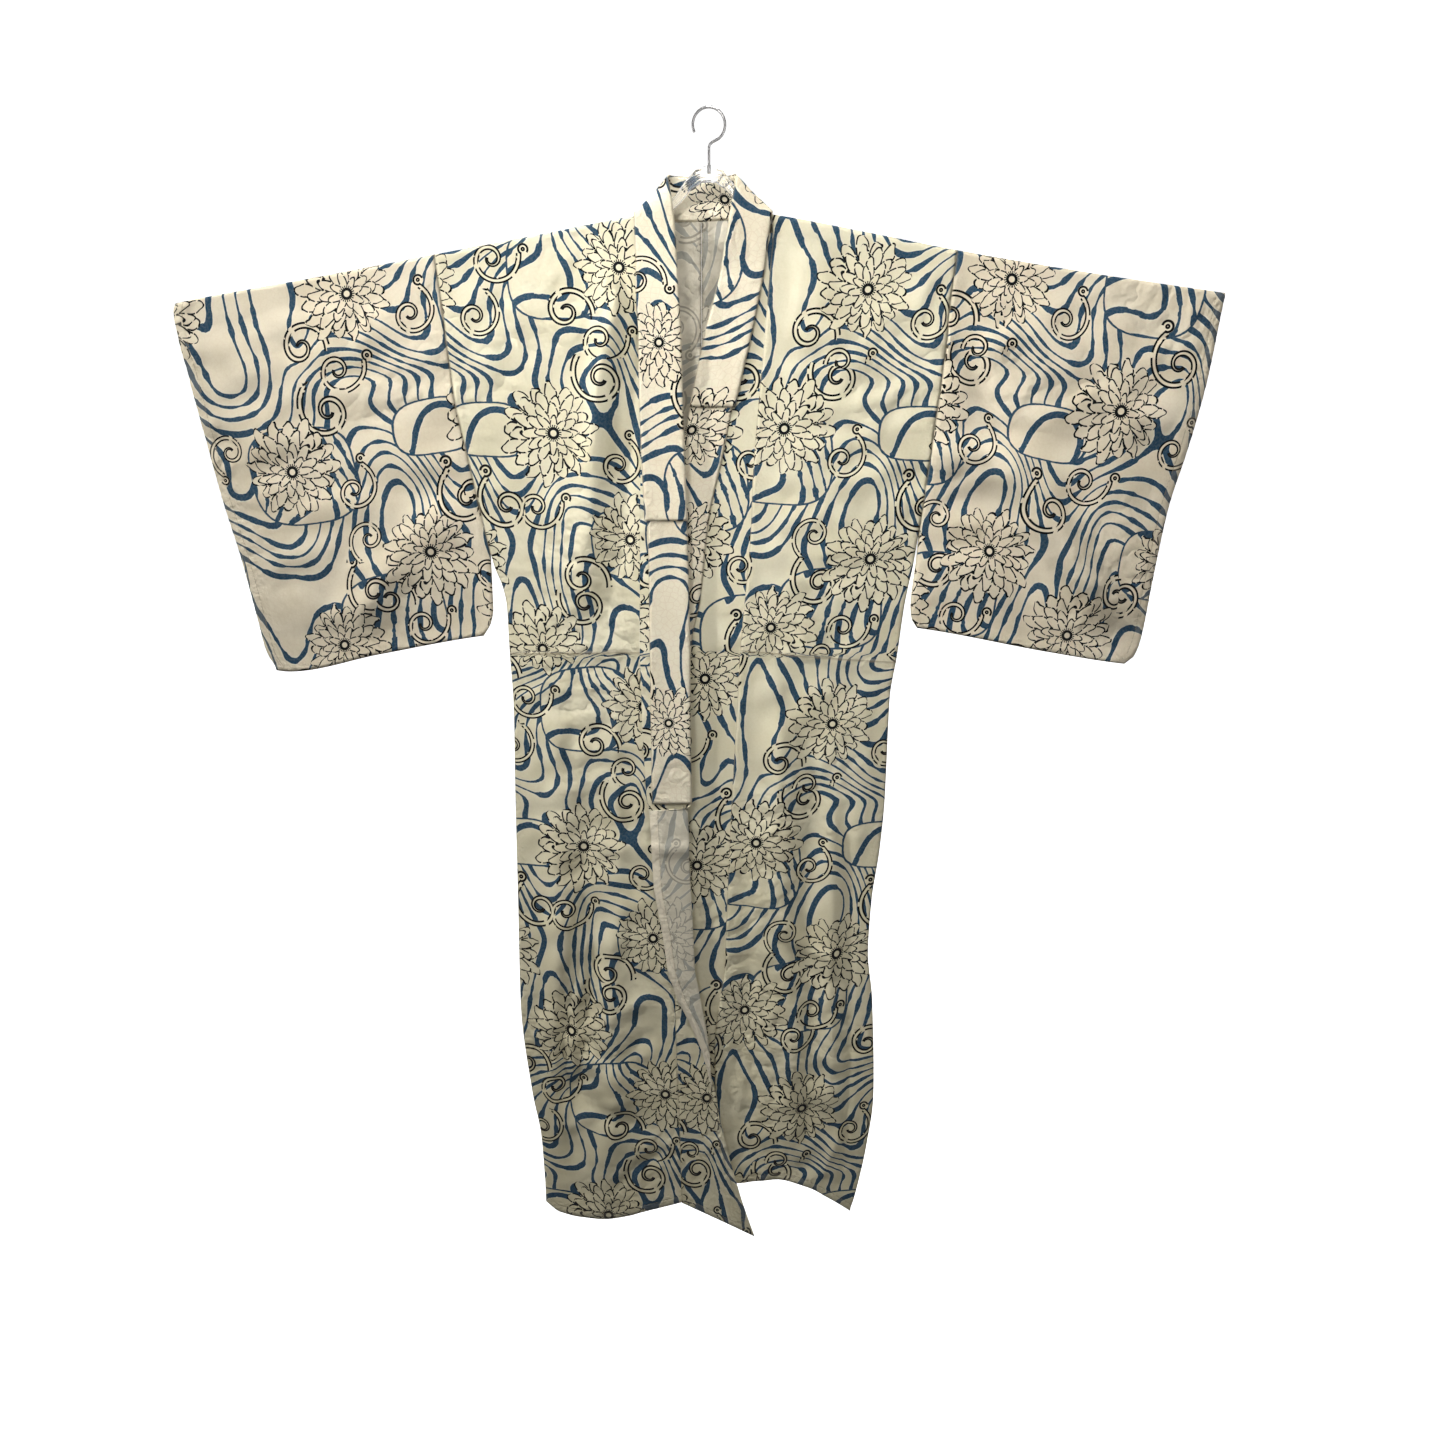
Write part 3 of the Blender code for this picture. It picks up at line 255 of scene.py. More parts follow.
# Creases of the front that are too narrow for the solids, with the same columns
FRONT_CREASES = [
    (1.1, 0.49, (36, -37), (38.7, -42.5), (44.8, -50.6), (51.8, -58.8), (54.6, -63)),
    (1.3, -0.43, (34.6, -40.5), (37.6, -46), (43.4, -54), (49.6, -61.4)),
    (1.2, -0.38, (31, -20), (33.4, -25), (34.6, -31), (38, -38)),
    (1, 0.26, (29.4, -47), (34, -44), (40, -43.5)),
    (1.5, 0.23, (33, -18.6), (38, -26), (47, -33), (56, -37)),
    (1.4, -0.19, (44, -22), (49, -30), (52, -40)),
    (0.8, 0.38, (-10.4, -20.5), (-12.9, -27.5), (-14.2, -33), (-15.4, -42)),
    (1.1, -0.58, (-8.9, -22), (-10.3, -30), (-11.4, -38), (-12.4, -48)),
    (1.2, 0.17, (-16.4, -24), (-18.4, -36), (-20.6, -50), (-22, -62)),
    (1.4, 0.23, (-30, -56), (-27.6, -62), (-24, -70)),
    (0.7, -0.82, (-17.6, -99), (-19.3, -108), (-21, -118), (-22, -134)),
    (0.8, 0.58, (-16.4, -101), (-17.8, -109), (-19.4, -120), (-20.6, -132)),
    (1, 0.43, (-21, -124), (-15.4, -119.5), (-9, -116.4)),
    (1.1, -0.35, (-19.8, -130), (-14, -126), (-8.4, -121.6)),
    (1, 0.31, (-22, -138), (-15.6, -133), (-10, -131)),
    (0.9, -0.39, (-23.8, -112), (-25.6, -121), (-24.8, -131)),
    (1, 0.31, (-12, -70), (-13, -82), (-12.4, -96)),
    (1.1, -0.27, (-18.6, -69), (-19.2, -80), (-21, -92)),
    (1, 0.3, (8.6, -69), (9.6, -80), (8.8, -94)),
    (0.9, -0.58, (17.8, -86), (19.8, -96), (19, -110), (20.6, -126)),
    (0.9, 0.43, (15.8, -88), (17.4, -100), (17, -116), (18.2, -134)),
    (1.1, -0.35, (4.6, -108), (6.4, -122), (5.4, -138)),
    (1.2, 0.35, (12.6, -119), (11.4, -131), (13, -144)),
    (0.45, -0.94, (19.2, -90), (19.8, -108), (20.2, -126), (19.4, -147)),
    (0.7, 0.54, (16, -146), (18.8, -139), (20.6, -134)),
    (0.8, -0.54, (-6, -140), (-10.8, -143), (-14.6, -147)),
    (0.9, 0.54, (9.4, -104), (13.6, -109), (19, -111)),
    (0.9, -0.49, (9, -107), (13.4, -112.4), (19, -115)),
    (1.1, 0.23, (26, -56), (22, -62), (19, -66)),
    (1.3, 0.17, (12, -18), (16.4, -30), (17.4, -44)),
    (1.6, 0.17, (-40, -20), (-46, -32), (-55, -40)),
    (1.2, 0.26, (-34, -46), (-42, -54), (-47, -64)),
    (1.4, -0.2, (-38, -42), (-47, -52), (-53, -64)),
]

# Creases of the back, which the photograph doesn't show
BACK_CREASES = [
    (1.3, 0.23, (-16, -20), (-20, -40), (-19, -66)),
    (1.3, 0.23, (14, -20), (18, -40), (17, -66)),
    (1.1, 0.32, (-8, -60), (-10, -90), (-8.6, -130)),
    (1.1, 0.29, (8, -60), (9, -90), (10.6, -130)),
    (1.2, -0.32, (-19, -84), (-20.6, -112), (-19, -146)),
    (1.2, -0.32, (18, -84), (16.6, -112), (17.6, -144)),
    (1.4, 0.26, (-36, -24), (-44, -38), (-56, -46)),
    (1.4, 0.26, (34, -24), (42, -38), (54, -46)),
]

# Long soft folds that only the light shows, with the same columns
SOFT_FOLDS = [
    (2, 1.05, (32, -37), (36.4, -41), (42.4, -46.6), (49.8, -58), (53.6, -66)),
    (2.2, -0.72, (30, -43), (36, -48.4), (41.4, -56.6), (44.5, -66)),
    (1.9, 0.5, (24.6, -19), (28.6, -26), (31.6, -36), (30.2, -44)),
    (1.8, -0.42, (27.6, -19.6), (33, -28), (36.6, -36)),
    (2.2, 0.42, (11, -15), (15, -24), (20, -34), (24, -44)),
    (2, -0.38, (14, -14.6), (19, -24), (24.4, -33)),
    (2.3, 0.36, (40, -22), (45, -30), (54, -36), (60, -37)),
    (1.9, 0.6, (-11.6, -16), (-12.8, -28), (-14.4, -42), (-16, -60)),
    (1.5, -0.36, (-8, -20), (-9, -30), (-10.2, -42), (-11.6, -56)),
    (2.2, 0.5, (-31, -48), (-38, -52), (-45, -60), (-49, -69)),
    (2.2, -0.42, (-33, -43), (-42, -48), (-51, -58)),
    (2.4, 0.36, (-45, -20), (-50, -32), (-60, -42)),
    (1.7, 0.74, (-22.6, -72), (-20, -84), (-21.8, -98), (-20.8, -114)),
    (1.6, -0.74, (-16, -86), (-17.6, -98), (-16.4, -112), (-18.4, -126)),
    (1.7, 0.7, (-12.4, -100), (-14.6, -112), (-13.4, -126), (-15.4, -144)),
    (1.6, 0.61, (-22.4, -122), (-17, -127), (-10.6, -129.6)),
    (1.6, -0.61, (-22.8, -128), (-17.6, -133), (-11, -136.4)),
    (1.8, 0.64, (8, -72), (10.6, -86), (9.8, -102), (12, -120), (11, -140)),
    (1.7, -0.64, (12.6, -74), (15, -88), (14, -104), (15.4, -122)),
    (1.7, 0.58, (6.4, -118), (12, -128), (18, -134)),
    (1.5, -0.58, (3, -96), (4.6, -112), (3.6, -130)),
    (1.5, 0.58, (21, -72), (22.4, -84), (20.4, -96)),
]

# How far the creases may rise and sink, in cm
HIGHEST = 1.6
DEEPEST = 0.72

# Soft rumples: direction in degrees, wavelength in cm, height in cm
RUMPLES = [
    (18, 9, 0.13), (74, 7.2, 0.12), (131, 6.1, 0.1), (98, 4.6, 0.08), (42, 3.9, 0.058), (160, 3.1, 0.042),
    (84, 2.3, 0.026), (12, 1.9, 0.018),
]


def rumple(x, z):
    """Slight unevenness of hung cloth, stronger in some places than in others."""
    total = np.zeros(np.shape(x))
    for i, (degrees, wavelength, height) in enumerate(RUMPLES):
        c, s = math.cos(math.radians(degrees)), math.sin(math.radians(degrees))
        across = (x * c + z * s) * 2 * math.pi / wavelength
        bend = 1.3 * np.sin((x * s - z * c) / (wavelength * 0.9) + 1.7 * i)
        calm = 0.5 + 0.5 * np.sin(x / 13.0 + 2.1 * i) * np.sin(z / 17.0 + 1.3 * i)
        total = total + height * calm * np.sin(across + bend + 2.4 * i)
    return total


def fine_relief(x, z, creases):
    """The creases and rumples together, kept from reaching the layer behind."""
    total = fold_relief(x, z, creases + SOFT_FOLDS) + rumple(x, z)
    return np.where(total > 0, HIGHEST * np.tanh(total / HIGHEST), DEEPEST * np.tanh(total / DEEPEST))


def sway(x, z):
    """Slow waviness shared by every layer, so that the seams keep their spacing."""
    across = 0.28 * np.sin(x / 9.5 + 0.8) * ease((-z - 75.0) / 60.0)
    along = 0.22 * np.sin(z / 17.0 + 0.5) * ease((-z - 30.0) / 40.0)
    return across + along


def closing(z):
    """Half gap along the armhole line: open above its end, closed below."""
    drop = np.clip((-z - 17.0) / (-ARMHOLE_END - 17.0), 0, 1)
    lens = SHOULDER_ROLL + 0.45 * np.sin(math.pi * drop) - (SHOULDER_ROLL - CLOSED) * drop**2
    return np.where(z > ARMHOLE_END, np.maximum(lens, CLOSED), CLOSED)


def tuck_offset(x, z, table):
    line = smooth_curve(table)(x)
    return TUCK_STEP * ease((z - line) / TUCK_RISE + 0.5)


arm_left = edge_by_girth(ARMHOLE_LEFT)
arm_right = edge_by_girth(ARMHOLE_RIGHT)
side_left = edge_by_girth([p for p in ARMHOLE_LEFT if p[1] > ARMHOLE_END + 1] + SIDE_LEFT)
side_right = edge_by_girth([p for p in ARMHOLE_RIGHT if p[1] > ARMHOLE_END + 1] + SIDE_RIGHT)
front_edge_left = edge_by_girth(FRONT_EDGE_LEFT)
front_edge_right = edge_by_girth(FRONT_EDGE_RIGHT)

SIDES = {
    "left": {
        "sign": -1, "outer": side_left, "inner": front_edge_left, "neck": BACK_NECK_LEFT, "hem": HEM_LEFT,
        "tuck": TUCK_LEFT, "depth": LEFT_FRONT_DEPTH,
    },
    "right": {
        "sign": 1, "outer": side_right, "inner": front_edge_right, "neck": BACK_NECK_RIGHT, "hem": HEM_RIGHT,
        "tuck": TUCK_RIGHT, "depth": RIGHT_FRONT_DEPTH,
    },
}


def below_shoulder(x, z):
    return np.maximum(top_line(x) - SHOULDER_ROLL - z, 0)


def half_gap(side, x, z, depth):
    """Half gap between front and back of the body, from the middle of it out to the side seam."""
    girth = np.maximum(z_to_girth(x, z, SHOULDER_ROLL), HALF_TURN * SHOULDER_ROLL)
    edge = side["outer"](girth)
    reach = np.abs(edge - CENTRE_X)
    across = np.clip(np.abs(x - CENTRE_X) / reach, 0, 1)
    across = np.where((x - CENTRE_X) * side["sign"] < 0, 0, across)
    rounding = 1 - np.clip((across - 0.25) / 0.75, 0, 1) ** 2.6
    at_edge = closing(z)
    full = at_edge + (depth - at_edge) * rounding
    return SHOULDER_ROLL + (full - SHOULDER_ROLL) * ease(below_shoulder(x, z) / 11.0)


def openness(gap):
    return np.clip((gap - CLOSED) / 0.8, 0, 1)


def cloth_relief(x, z, folds, creases, gap, drop):
    """Folds and creases of a layer, flat where the layers are closed and over the shoulder."""
    relief = fold_relief(x, z, folds) * openness(gap) * ease(drop / 8.0)
    return relief + fine_relief(x, z, creases) * openness(gap) * ease(drop / 4.0)


def front_y(side, x, z):
    """Depth of the middle of a front's cloth."""
    gap = half_gap(side, x, z, side["depth"])
    relief = cloth_relief(x, z, FRONT_FOLDS, FRONT_CREASES, gap, below_shoulder(x, z))
    inner = side["inner"](np.maximum(z_to_girth(x, z, SHOULDER_ROLL), 0))
    relief = relief * ease(((x - inner) * side["sign"] - 1.2) / 3.0)
    return -(gap + relief) + sway(x, z)


def body_front_y(side, x, z):
    """The same with the step of the waist tuck, which keeps clear of the layers on the front's inner edge."""
    gap = half_gap(side, x, z, side["depth"])
    above = tuck_offset(x, z, side["tuck"])
    step = above if side["sign"] > 0 else above - TUCK_STEP
    return front_y(side, x, z) - step * openness(gap) * ease((-z - 40.0) / 15.0)


def back_y(side, x, z):
    gap = half_gap(side, x, z, BACK_DEPTH)
    relief = cloth_relief(x, z, BACK_FOLDS, BACK_CREASES, gap, below_shoulder(x, z))
    return gap + relief + sway(x, z)


def body_grid(side, columns, girths):
    """Middle surface of one body width, from the back hem over the shoulder to the front hem."""
    sign = side["sign"]
    longest = girths[-1]
    hem_front = smooth_curve(side["hem"])
    hem_back = smooth_curve(HEM_BACK)
    neck_x = smooth_curve([(girth, x) for x, girth in side["neck"]])
    rows = []
    for girth in girths:
        away = abs(girth)
        outer = float(side["outer"](away)) - sign * SEAM
        if girth >= 0:
            inner = float(side["inner"](away))
        elif girth > side["neck"][0][1]:
            inner = float(neck_x(girth))
        else:
            inner = CENTRE_X + sign * SEAM / 2
        x = inner + (outer - inner) * np.linspace(0, 1, columns)
        hem = hem_front if girth >= 0 else hem_back
        full = z_to_girth(x, hem(x), SHOULDER_ROLL)
        blend = ease((away / longest - 0.72) / 0.28)
        reach = away * (1 + blend * (full / longest - 1))
        z = girth_to_z(x, reach, SHOULDER_ROLL)
        on_roll = reach < HALF_TURN * SHOULDER_ROLL + 1e-6
        roll_y = SHOULDER_ROLL * np.sin(np.minimum(reach / SHOULDER_ROLL, HALF_TURN))
        if girth >= 0:
            y = np.where(on_roll, -roll_y, body_front_y(side, x, z))
        else:
            y = np.where(on_roll, roll_y, back_y(side, x, z))
        rows.append(np.stack([x, y, z], axis=1))
    return np.array(rows)


# Girth of a sleeve from the top fold to the foot: first guess, and as the print is laid on it
SLEEVE_GUESS = 47.4
SLEEVE_GIRTH = 47.6


def sleeve_grid(sign, arm, cuff_points, foot_points, columns, shares):
    """Middle surface of a sleeve: up the back from the lower seam, over the top fold and down the front."""
    cuff = edge_by_girth(cuff_points)
    foot = smooth_curve(foot_points)
    rows = []
    for share in shares:
        away = abs(share)
        spread = np.linspace(0, 1, columns)
        guess = away * SLEEVE_GUESS
        x = np.zeros(columns)
        for _ in range(6):
            inner = arm(guess)
            outer = cuff(guess)
            x = inner + (outer - inner) * spread + sign * SEAM * (1 - spread)
            guess = away * z_to_girth(x, foot(x), SHOULDER_ROLL)
        reach = away * z_to_girth(x, foot(x), SHOULDER_ROLL)
        roll = SHOULDER_ROLL + (CUFF_ROLL - SHOULDER_ROLL) * spread
        z = girth_to_z(x, reach, roll)
        drop = np.maximum(top_line(x) - roll - z, 0)
        at_arm = closing(z)
        cuff_gap = CLOSED + (0.75 - CLOSED) * ease((z - CUFF_OPENING_END) / 12.0)
        middle = 1.15 * np.sin(math.pi * np.clip((1 - away) * 1.6, 0, 0.5)) + CLOSED
        puff = np.sin(math.pi * spread) ** 0.8
        edge = at_arm * (1 - ease(spread)) + cuff_gap * ease(spread)
        full = edge + (np.maximum(middle, edge) - edge) * puff
        full = CLOSED + (full - CLOSED) * ease((1 - away) / 0.16)
        gap = roll + (full - roll) * ease(drop / 9.0)
        folds = (FRONT_FOLDS, FRONT_CREASES) if share >= 0 else (BACK_FOLDS, BACK_CREASES)
        relief = cloth_relief(x, z, *folds, gap, drop)
        near_cuff = np.exp(-((np.abs(x - cuff(reach)) / 0.9) ** 2))
        relief = relief + 0.05 * np.sin(2 * math.pi * z / 1.3 + np.sin(z * 0.7)) * near_cuff
        on_roll = reach < HALF_TURN * roll + 1e-6
        roll_y = roll * np.sin(np.minimum(reach / roll, HALF_TURN))
        if share >= 0:
            y = np.where(on_roll, -roll_y, -(gap + relief) + sway(x, z))
        else:
            y = np.where(on_roll, roll_y, gap + relief + sway(x, z))
        rows.append(np.stack([x, y, z], axis=1))
    return np.array(rows)


# Left overlap panel, row by row: height at its seam, seam, left fold, right fold or edge, length of the
# turned flap, share of the under fold, share of the turned flap
OKUMI_LEFT = [
    (-26.5, -7.2, -8.3, -4.4, 0.4, 1, 0), (-34, -7.2, -8.6, -4.2, 0.4, 1, 0),
    (-50, -7.2, -9, -3.8, 0.4, 1, 0), (-66.5, -7.2, -9.3, -3.7, 0.4, 1, 0),
    (-78, -7.2, -9.1, -3.6, 0.4, 1, 0), (-85, -7.2, -8.8, -3.5, 0.4, 1, 0),
    (-87.3, -7.2, -8.6, -3.4, 0.3, 1, 0), (-87.7, -7.2, -8.5, -3.3, 0.3, 1, 0.5),
    (-87.95, -7.2, -8.45, -3.2, 0.3, 1, 1), (-88.1, -7.2, -8.4, -3.2, 5.1, 1, 1),
    (-90, -7.2, -7.9, -3.2, 5.1, 1, 1), (-92, -7, -7.4, -3.1, 5.1, 1, 1),
    (-95.5, -6.9, -7.3, -3.1, 5, 0, 1), (-99.7, -6.5, -6.9, -2.9, 5, 0, 1),
    (-106.3, -5.8, -6.2, -2.6, 4.2, 0, 1), (-112, -5.3, -5.7, -2.4, 3.7, 0, 1),
    (-116.4, -5.1, -5.5, -1.6, 3.1, 0, 1), (-120.8, -5.1, -5.5, -0.8, 1.8, 0, 1),
    (-124.5, -5, -5.4, -0.3, 0.9, 0, 1), (-127, -4.9, -5.3, -0.2, 0.3, 0, 1),
    (-130.5, -4.8, -5.2, 0.1, 0.3, 0, 0), (-134, -4.7, -5.1, 0.5, 0.4, 0, 0),
    (-139, -4.6, -5, 1.9, 0.5, 0, 0), (-144, -4.5, -4.9, 3.6, 0.5, 0, 0),
    (-149, -4.4, -4.8, 5.6, 0.5, 0, 0),
]
OKUMI_LEFT_TOP = -26.5
OKUMI_LEFT_FOOT = -149.0
OKUMI_LEFT_HEM_DROP = 5.9
OKUMI_LEFT_HEM_FROM = -118.0
LEAST_UNDER = 0.2


def turned_end(length, share, flat_cells):
    """An edge that turns back over its own layer: how far out and how high each point lies."""
    turn_cells = 4
    out = [0.0]
    height = [0.0]
    for i in range(turn_cells):
        angle = math.pi * share * (i + 0.5) / turn_cells
        step = math.pi * FOLD_RADIUS / turn_cells
        out.append(out[-1] + step * math.cos(angle))
        height.append(height[-1] + step * math.sin(angle))
    for _ in range(flat_cells):
        step = length / flat_cells
        out.append(out[-1] + step * math.cos(math.pi * share))
        height.append(height[-1] + step * math.sin(math.pi * share))
    return np.array(out), np.array(height)


def okumi_left_section(value):
    """One row across the left overlap panel: x, and level in front of the front's cloth."""
    under = float(ease(value["under"]))
    length = max(value["seam"] - value["fold"] - FOLD_RADIUS, LEAST_UNDER)
    out, height = turned_end(length, under, 2)
    anchor = under * (value["fold"] + FOLD_RADIUS) + (1 - under) * (value["seam"] + out[-1])
    base = -LAYER - height[-1]
    left_x = (anchor - out)[::-1]
    left_level = (base + height)[::-1]
    out, height = turned_end(value["length"], float(ease(value["flap"])), 3)
    right_x = value["right"] + out
    right_level = base - height
    base_x = np.linspace(left_x[-1], right_x[0], 5)[1:-1]
    x = np.concatenate([left_x, base_x, right_x])
    level = np.concatenate([left_level, np.full(3, base), right_level])
    return x, level


def okumi_left_grid(heights):
    """Middle surface of the left overlap panel, with its under fold and the flap turned out at the foot."""
    names = ["seam", "fold", "right", "length", "under", "flap"]
    rows = []
    heights_given = [-row[0] for row in OKUMI_LEFT]
    for height in heights:
        value = {}
        for i, name in enumerate(names):
            value[name] = float(np.interp(-height, heights_given, [row[i + 1] for row in OKUMI_LEFT]))
        x, level = okumi_left_section(value)
        hem = ease((OKUMI_LEFT_HEM_FROM - height) / (OKUMI_LEFT_HEM_FROM + 149.0))
        z = height - hem * OKUMI_LEFT_HEM_DROP * np.clip((x - value["seam"]) / 10.9, 0, 1.1)
        y = front_y(SIDES["left"], x, z) + level
        rows.append(np.stack([x, y, z], axis=1))
    return np.array(rows)


# Right overlap panel, behind the right front's edge: height, outer edge, inner edge
OKUMI_RIGHT = [
    (-14.2, 9, 5.2), (-18, 8.8, 4.4), (-22, 8.5, 3.4), (-26, 8.2, 2.2), (-34, 7.6, -0.2), (-48, 6.6, -2.9),
    (-60, 5.7, -4.4), (-66, 5.2, -5.2), (-80, 4.5, -6.6), (-90, 3.9, -7.2), (-104, 3.4, -7.6),
    (-118, 2.3, -7.8), (-134, 1.9, -7.8), (-146.5, 3.2, -7.6),
]
OKUMI_RIGHT_HEM = [(-8, -146.2), (0, -146.8), (5, -146.3)]


def okumi_right_grid(columns, heights):
    outer = smooth_curve([(row[0], row[1]) for row in OKUMI_RIGHT])
    inner = smooth_curve([(row[0], row[2]) for row in OKUMI_RIGHT])
    hem = smooth_curve(OKUMI_RIGHT_HEM)
    rows = []
    for height in heights:
        x = outer(height) + (inner(height) - outer(height)) * np.linspace(0, 1, columns)
        z = height + ease((-120.0 - height) / 26.5) * (hem(x) + 146.5)
        y = front_y(SIDES["right"], x, z) + LAYER
        rows.append(np.stack([x, y, z], axis=1))
    return np.array(rows)


# Collar on the fronts: height, seam edge, free edge, lift in front of the front's cloth
COLLAR_LEFT = [
    (-87.25, -8, -2.5, 0.66), (-78, -8, -2.6, 0.66), (-66.5, -8, -2.6, 0.66), (-52, -8, -2.8, 0.66),
    (-42, -8.3, -3.1, 0.66), (-34.2, -8.5, -3.3, 0.66), (-29, -8.5, -3.4, 0.72), (-25.5, -8.5, -3.5, 0.74),
    (-22, -8.8, -3.7, 0.6), (-18.6, -9, -3.9, 0.42),
]
COLLAR_RIGHT = [
    (-18.6, 6.8, 1.4, 0), (-22, 5.9, 0.6, 0), (-25.7, 5.1, -0.5, 0), (-30, 4.1, -1.5, 0),
    (-35.2, 2.9, -2.6, 0), (-42, 1.5, -4, 0), (-48.4, 0, -5.3, 0), (-59.5, -1.3, -6.7, 0),
    (-65, -2.4, -7.5, 0), (-78, -3.2, -8.4, 0), (-87.4, -3.4, -8.7, 0),
]
OVERLAY_BEYOND = 0.35
OVERLAY_SPACE = 0.05
OVERLAY_END_LEFT = -49.2
OVERLAY_END_RIGHT = -35.0
# Collar round the neck, from the left front to the right front: seam edge, free edge
COLLAR_NECK = [
    ((-9.15, -1.02, -15.2), (-4.1, -1.45, -14.6)), ((-9.2, -0.94, -13.2), (-4.4, -1.45, -11.6)),
    ((-9.15, -0.7, -12.15), (-4.7, -1.2, -9.3)), ((-8.85, 0, -11.85), (-4.9, -0.3, -7.9)),
    ((-8.1, 0.52, -12.08), (-4.75, 0.6, -7.35)), ((-6.6, 0.7, -12.38), (-4.1, 1.1, -7.25)),
    ((-4.2, 0.72, -12.56), (-3, 1.3, -7.25)), ((-1, 0.72, -12.62), (-0.9, 1.35, -7.25)),
    ((2.2, 0.72, -12.37), (1.2, 1.3, -7.25)), ((5, 0.7, -12.13), (2.4, 1.1, -7.2)),
    ((6.8, 0.52, -11.9), (3, 0.6, -7.25)), ((7.6, 0, -11.7), (3.2, -0.3, -7.8)),
    ((7.75, -0.72, -12.15), (3.05, -1.05, -9.2)), ((7.55, -0.94, -13.2), (2.6, -1.2, -11.6)),
    ((7.3, -0.95, -15.2), (2.1, -1.2, -14.6)),
]


def rows_on_front(table, side):
    """The collar's rows as they lie on one front."""
    rows = []
    for height, seam, free, lift in table:
        rows.append([(x, float(front_y(side, x, height)) - lift, height) for x in (seam, free)])
    return rows


def collar_rows():
    left = rows_on_front(COLLAR_LEFT, SIDES["left"])
    right = rows_on_front(COLLAR_RIGHT, SIDES["right"])
    return np.array(left + [list(row) for row in COLLAR_NECK] + right, float)


def along_rows(rows):
    """How far along the band each row lies."""
    return np.concatenate([[0], np.cumsum(np.linalg.norm(np.diff(rows.mean(axis=1), axis=0), axis=1))])


SPLINE_SAMPLES = 24
COLLAR_SPACING = 0.5


def spline_rows(rows, spacing):
    """Lays rows at an even spacing along the smooth curves through the given ones."""
    rows = np.array(rows, float)
    middle = rows.mean(axis=1)
    chord = np.concatenate([[0], np.cumsum(np.linalg.norm(np.diff(middle, axis=0), axis=1) ** 0.5)])
    chord = chord / chord[-1]
    tangents = np.zeros_like(rows)
    for i in range(len(rows)):
        before = max(i - 1, 0)
        after = min(i + 1, len(rows) - 1)
        tangents[i] = (rows[after] - rows[before]) / (chord[after] - chord[before])
    fine = []
    for i in range(len(rows) - 1):
        step = chord[i + 1] - chord[i]
        for t in np.linspace(0, 1, SPLINE_SAMPLES, endpoint=False):
            fine.append(hermite(t, step, rows[i], rows[i + 1], tangents[i], tangents[i + 1]))
    fine.append(rows[-1])
    fine = np.array(fine)
    lengths = along_rows(fine)
    wanted = [0.0]
    while wanted[-1] < lengths[-1]:
        wanted.append(wanted[-1] + spacing)
    wanted = np.array(wanted) * lengths[-1] / wanted[-1]
    result = np.zeros((len(wanted), 2, 3))
    for end in range(2):
        for axis in range(3):
            result[:, end, axis] = np.interp(wanted, lengths, fine[:, end, axis])
    return result


def settle_on_fronts(rows):
    """Lays the collar's rows on the fronts at their lift, and leaves those round the neck as they are."""
    rows = rows.copy()
    turn = int(np.argmax(rows[:, :, 2].mean(axis=1)))
    halves = (("left", COLLAR_LEFT, slice(0, turn)), ("right", COLLAR_RIGHT, slice(turn, None)))
    for key, table, part in halves:
        lift_at = smooth_curve([(row[0], row[3]) for row in table])
        x = rows[part, :, 0]
        z = rows[part, :, 2]
        settled = front_y(SIDES[key], x, z) - lift_at(z)
        share = ease((-16.0 - z) / 4.0)
        rows[part, :, 1] = settled * share + rows[part, :, 1] * (1 - share)
    return rows


def ribbon_grid(rows, columns):
    share = np.linspace(0, 1, columns)[None, :, None]
    return rows[:, 0:1, :] * (1 - share) + rows[:, 1:2, :] * share


def cut_rows(rows, left_end, right_end):
    """Keeps the rows above the given heights, with one row laid exactly at each end."""
    heights = rows[:, :, 2].mean(axis=1)
    turn = int(np.argmax(heights))
    first = next(i for i in range(turn) if heights[i + 1] > left_end)
    last = next(i for i in range(len(rows) - 1, turn, -1) if heights[i - 1] > right_end)
    start = (left_end - heights[first]) / (heights[first + 1] - heights[first])
    stop = (right_end - heights[last]) / (heights[last - 1] - heights[last])
    first_row = rows[first] * (1 - start) + rows[first + 1] * start
    last_row = rows[last] * (1 - stop) + rows[last - 1] * stop
    return np.concatenate([[first_row], rows[first + 1 : last], [last_row]])


def overlay_grid(rows, columns):
    """The overlay lies on the collar's outer side and reaches a little beyond its seam edge on the fronts."""
    grid = ribbon_grid(rows, columns)
    normals = grid_normals(grid)
    if normals[0, 0, 1] > 0:
        normals = -normals
    grid = grid + normals * (COLLAR_WALL / 2 + OVERLAY_WALL / 2 + OVERLAY_SPACE)
    wider = OVERLAY_BEYOND * ease((-16.0 - rows[:, :1, 2]) / 8.0)
    share = np.linspace(1, 0, columns)[None, :]
    seamward = rows[:, 0:1, :] - rows[:, 1:2, :]
    seamward = seamward / np.linalg.norm(seamward, axis=2, keepdims=True)
    return grid + seamward * (wider * share)[:, :, None]


def grid_normals(grid):
    across = np.gradient(grid, axis=1)
    along = np.gradient(grid, axis=0)
    normals = np.cross(across, along)
    lengths = np.linalg.norm(normals, axis=2, keepdims=True)
    return normals / np.maximum(lengths, 1e-9)


# Wood grain of the print

TILE_WIDE = 50.0
TILE_LONG = 57.5
TURN = 2 * math.pi

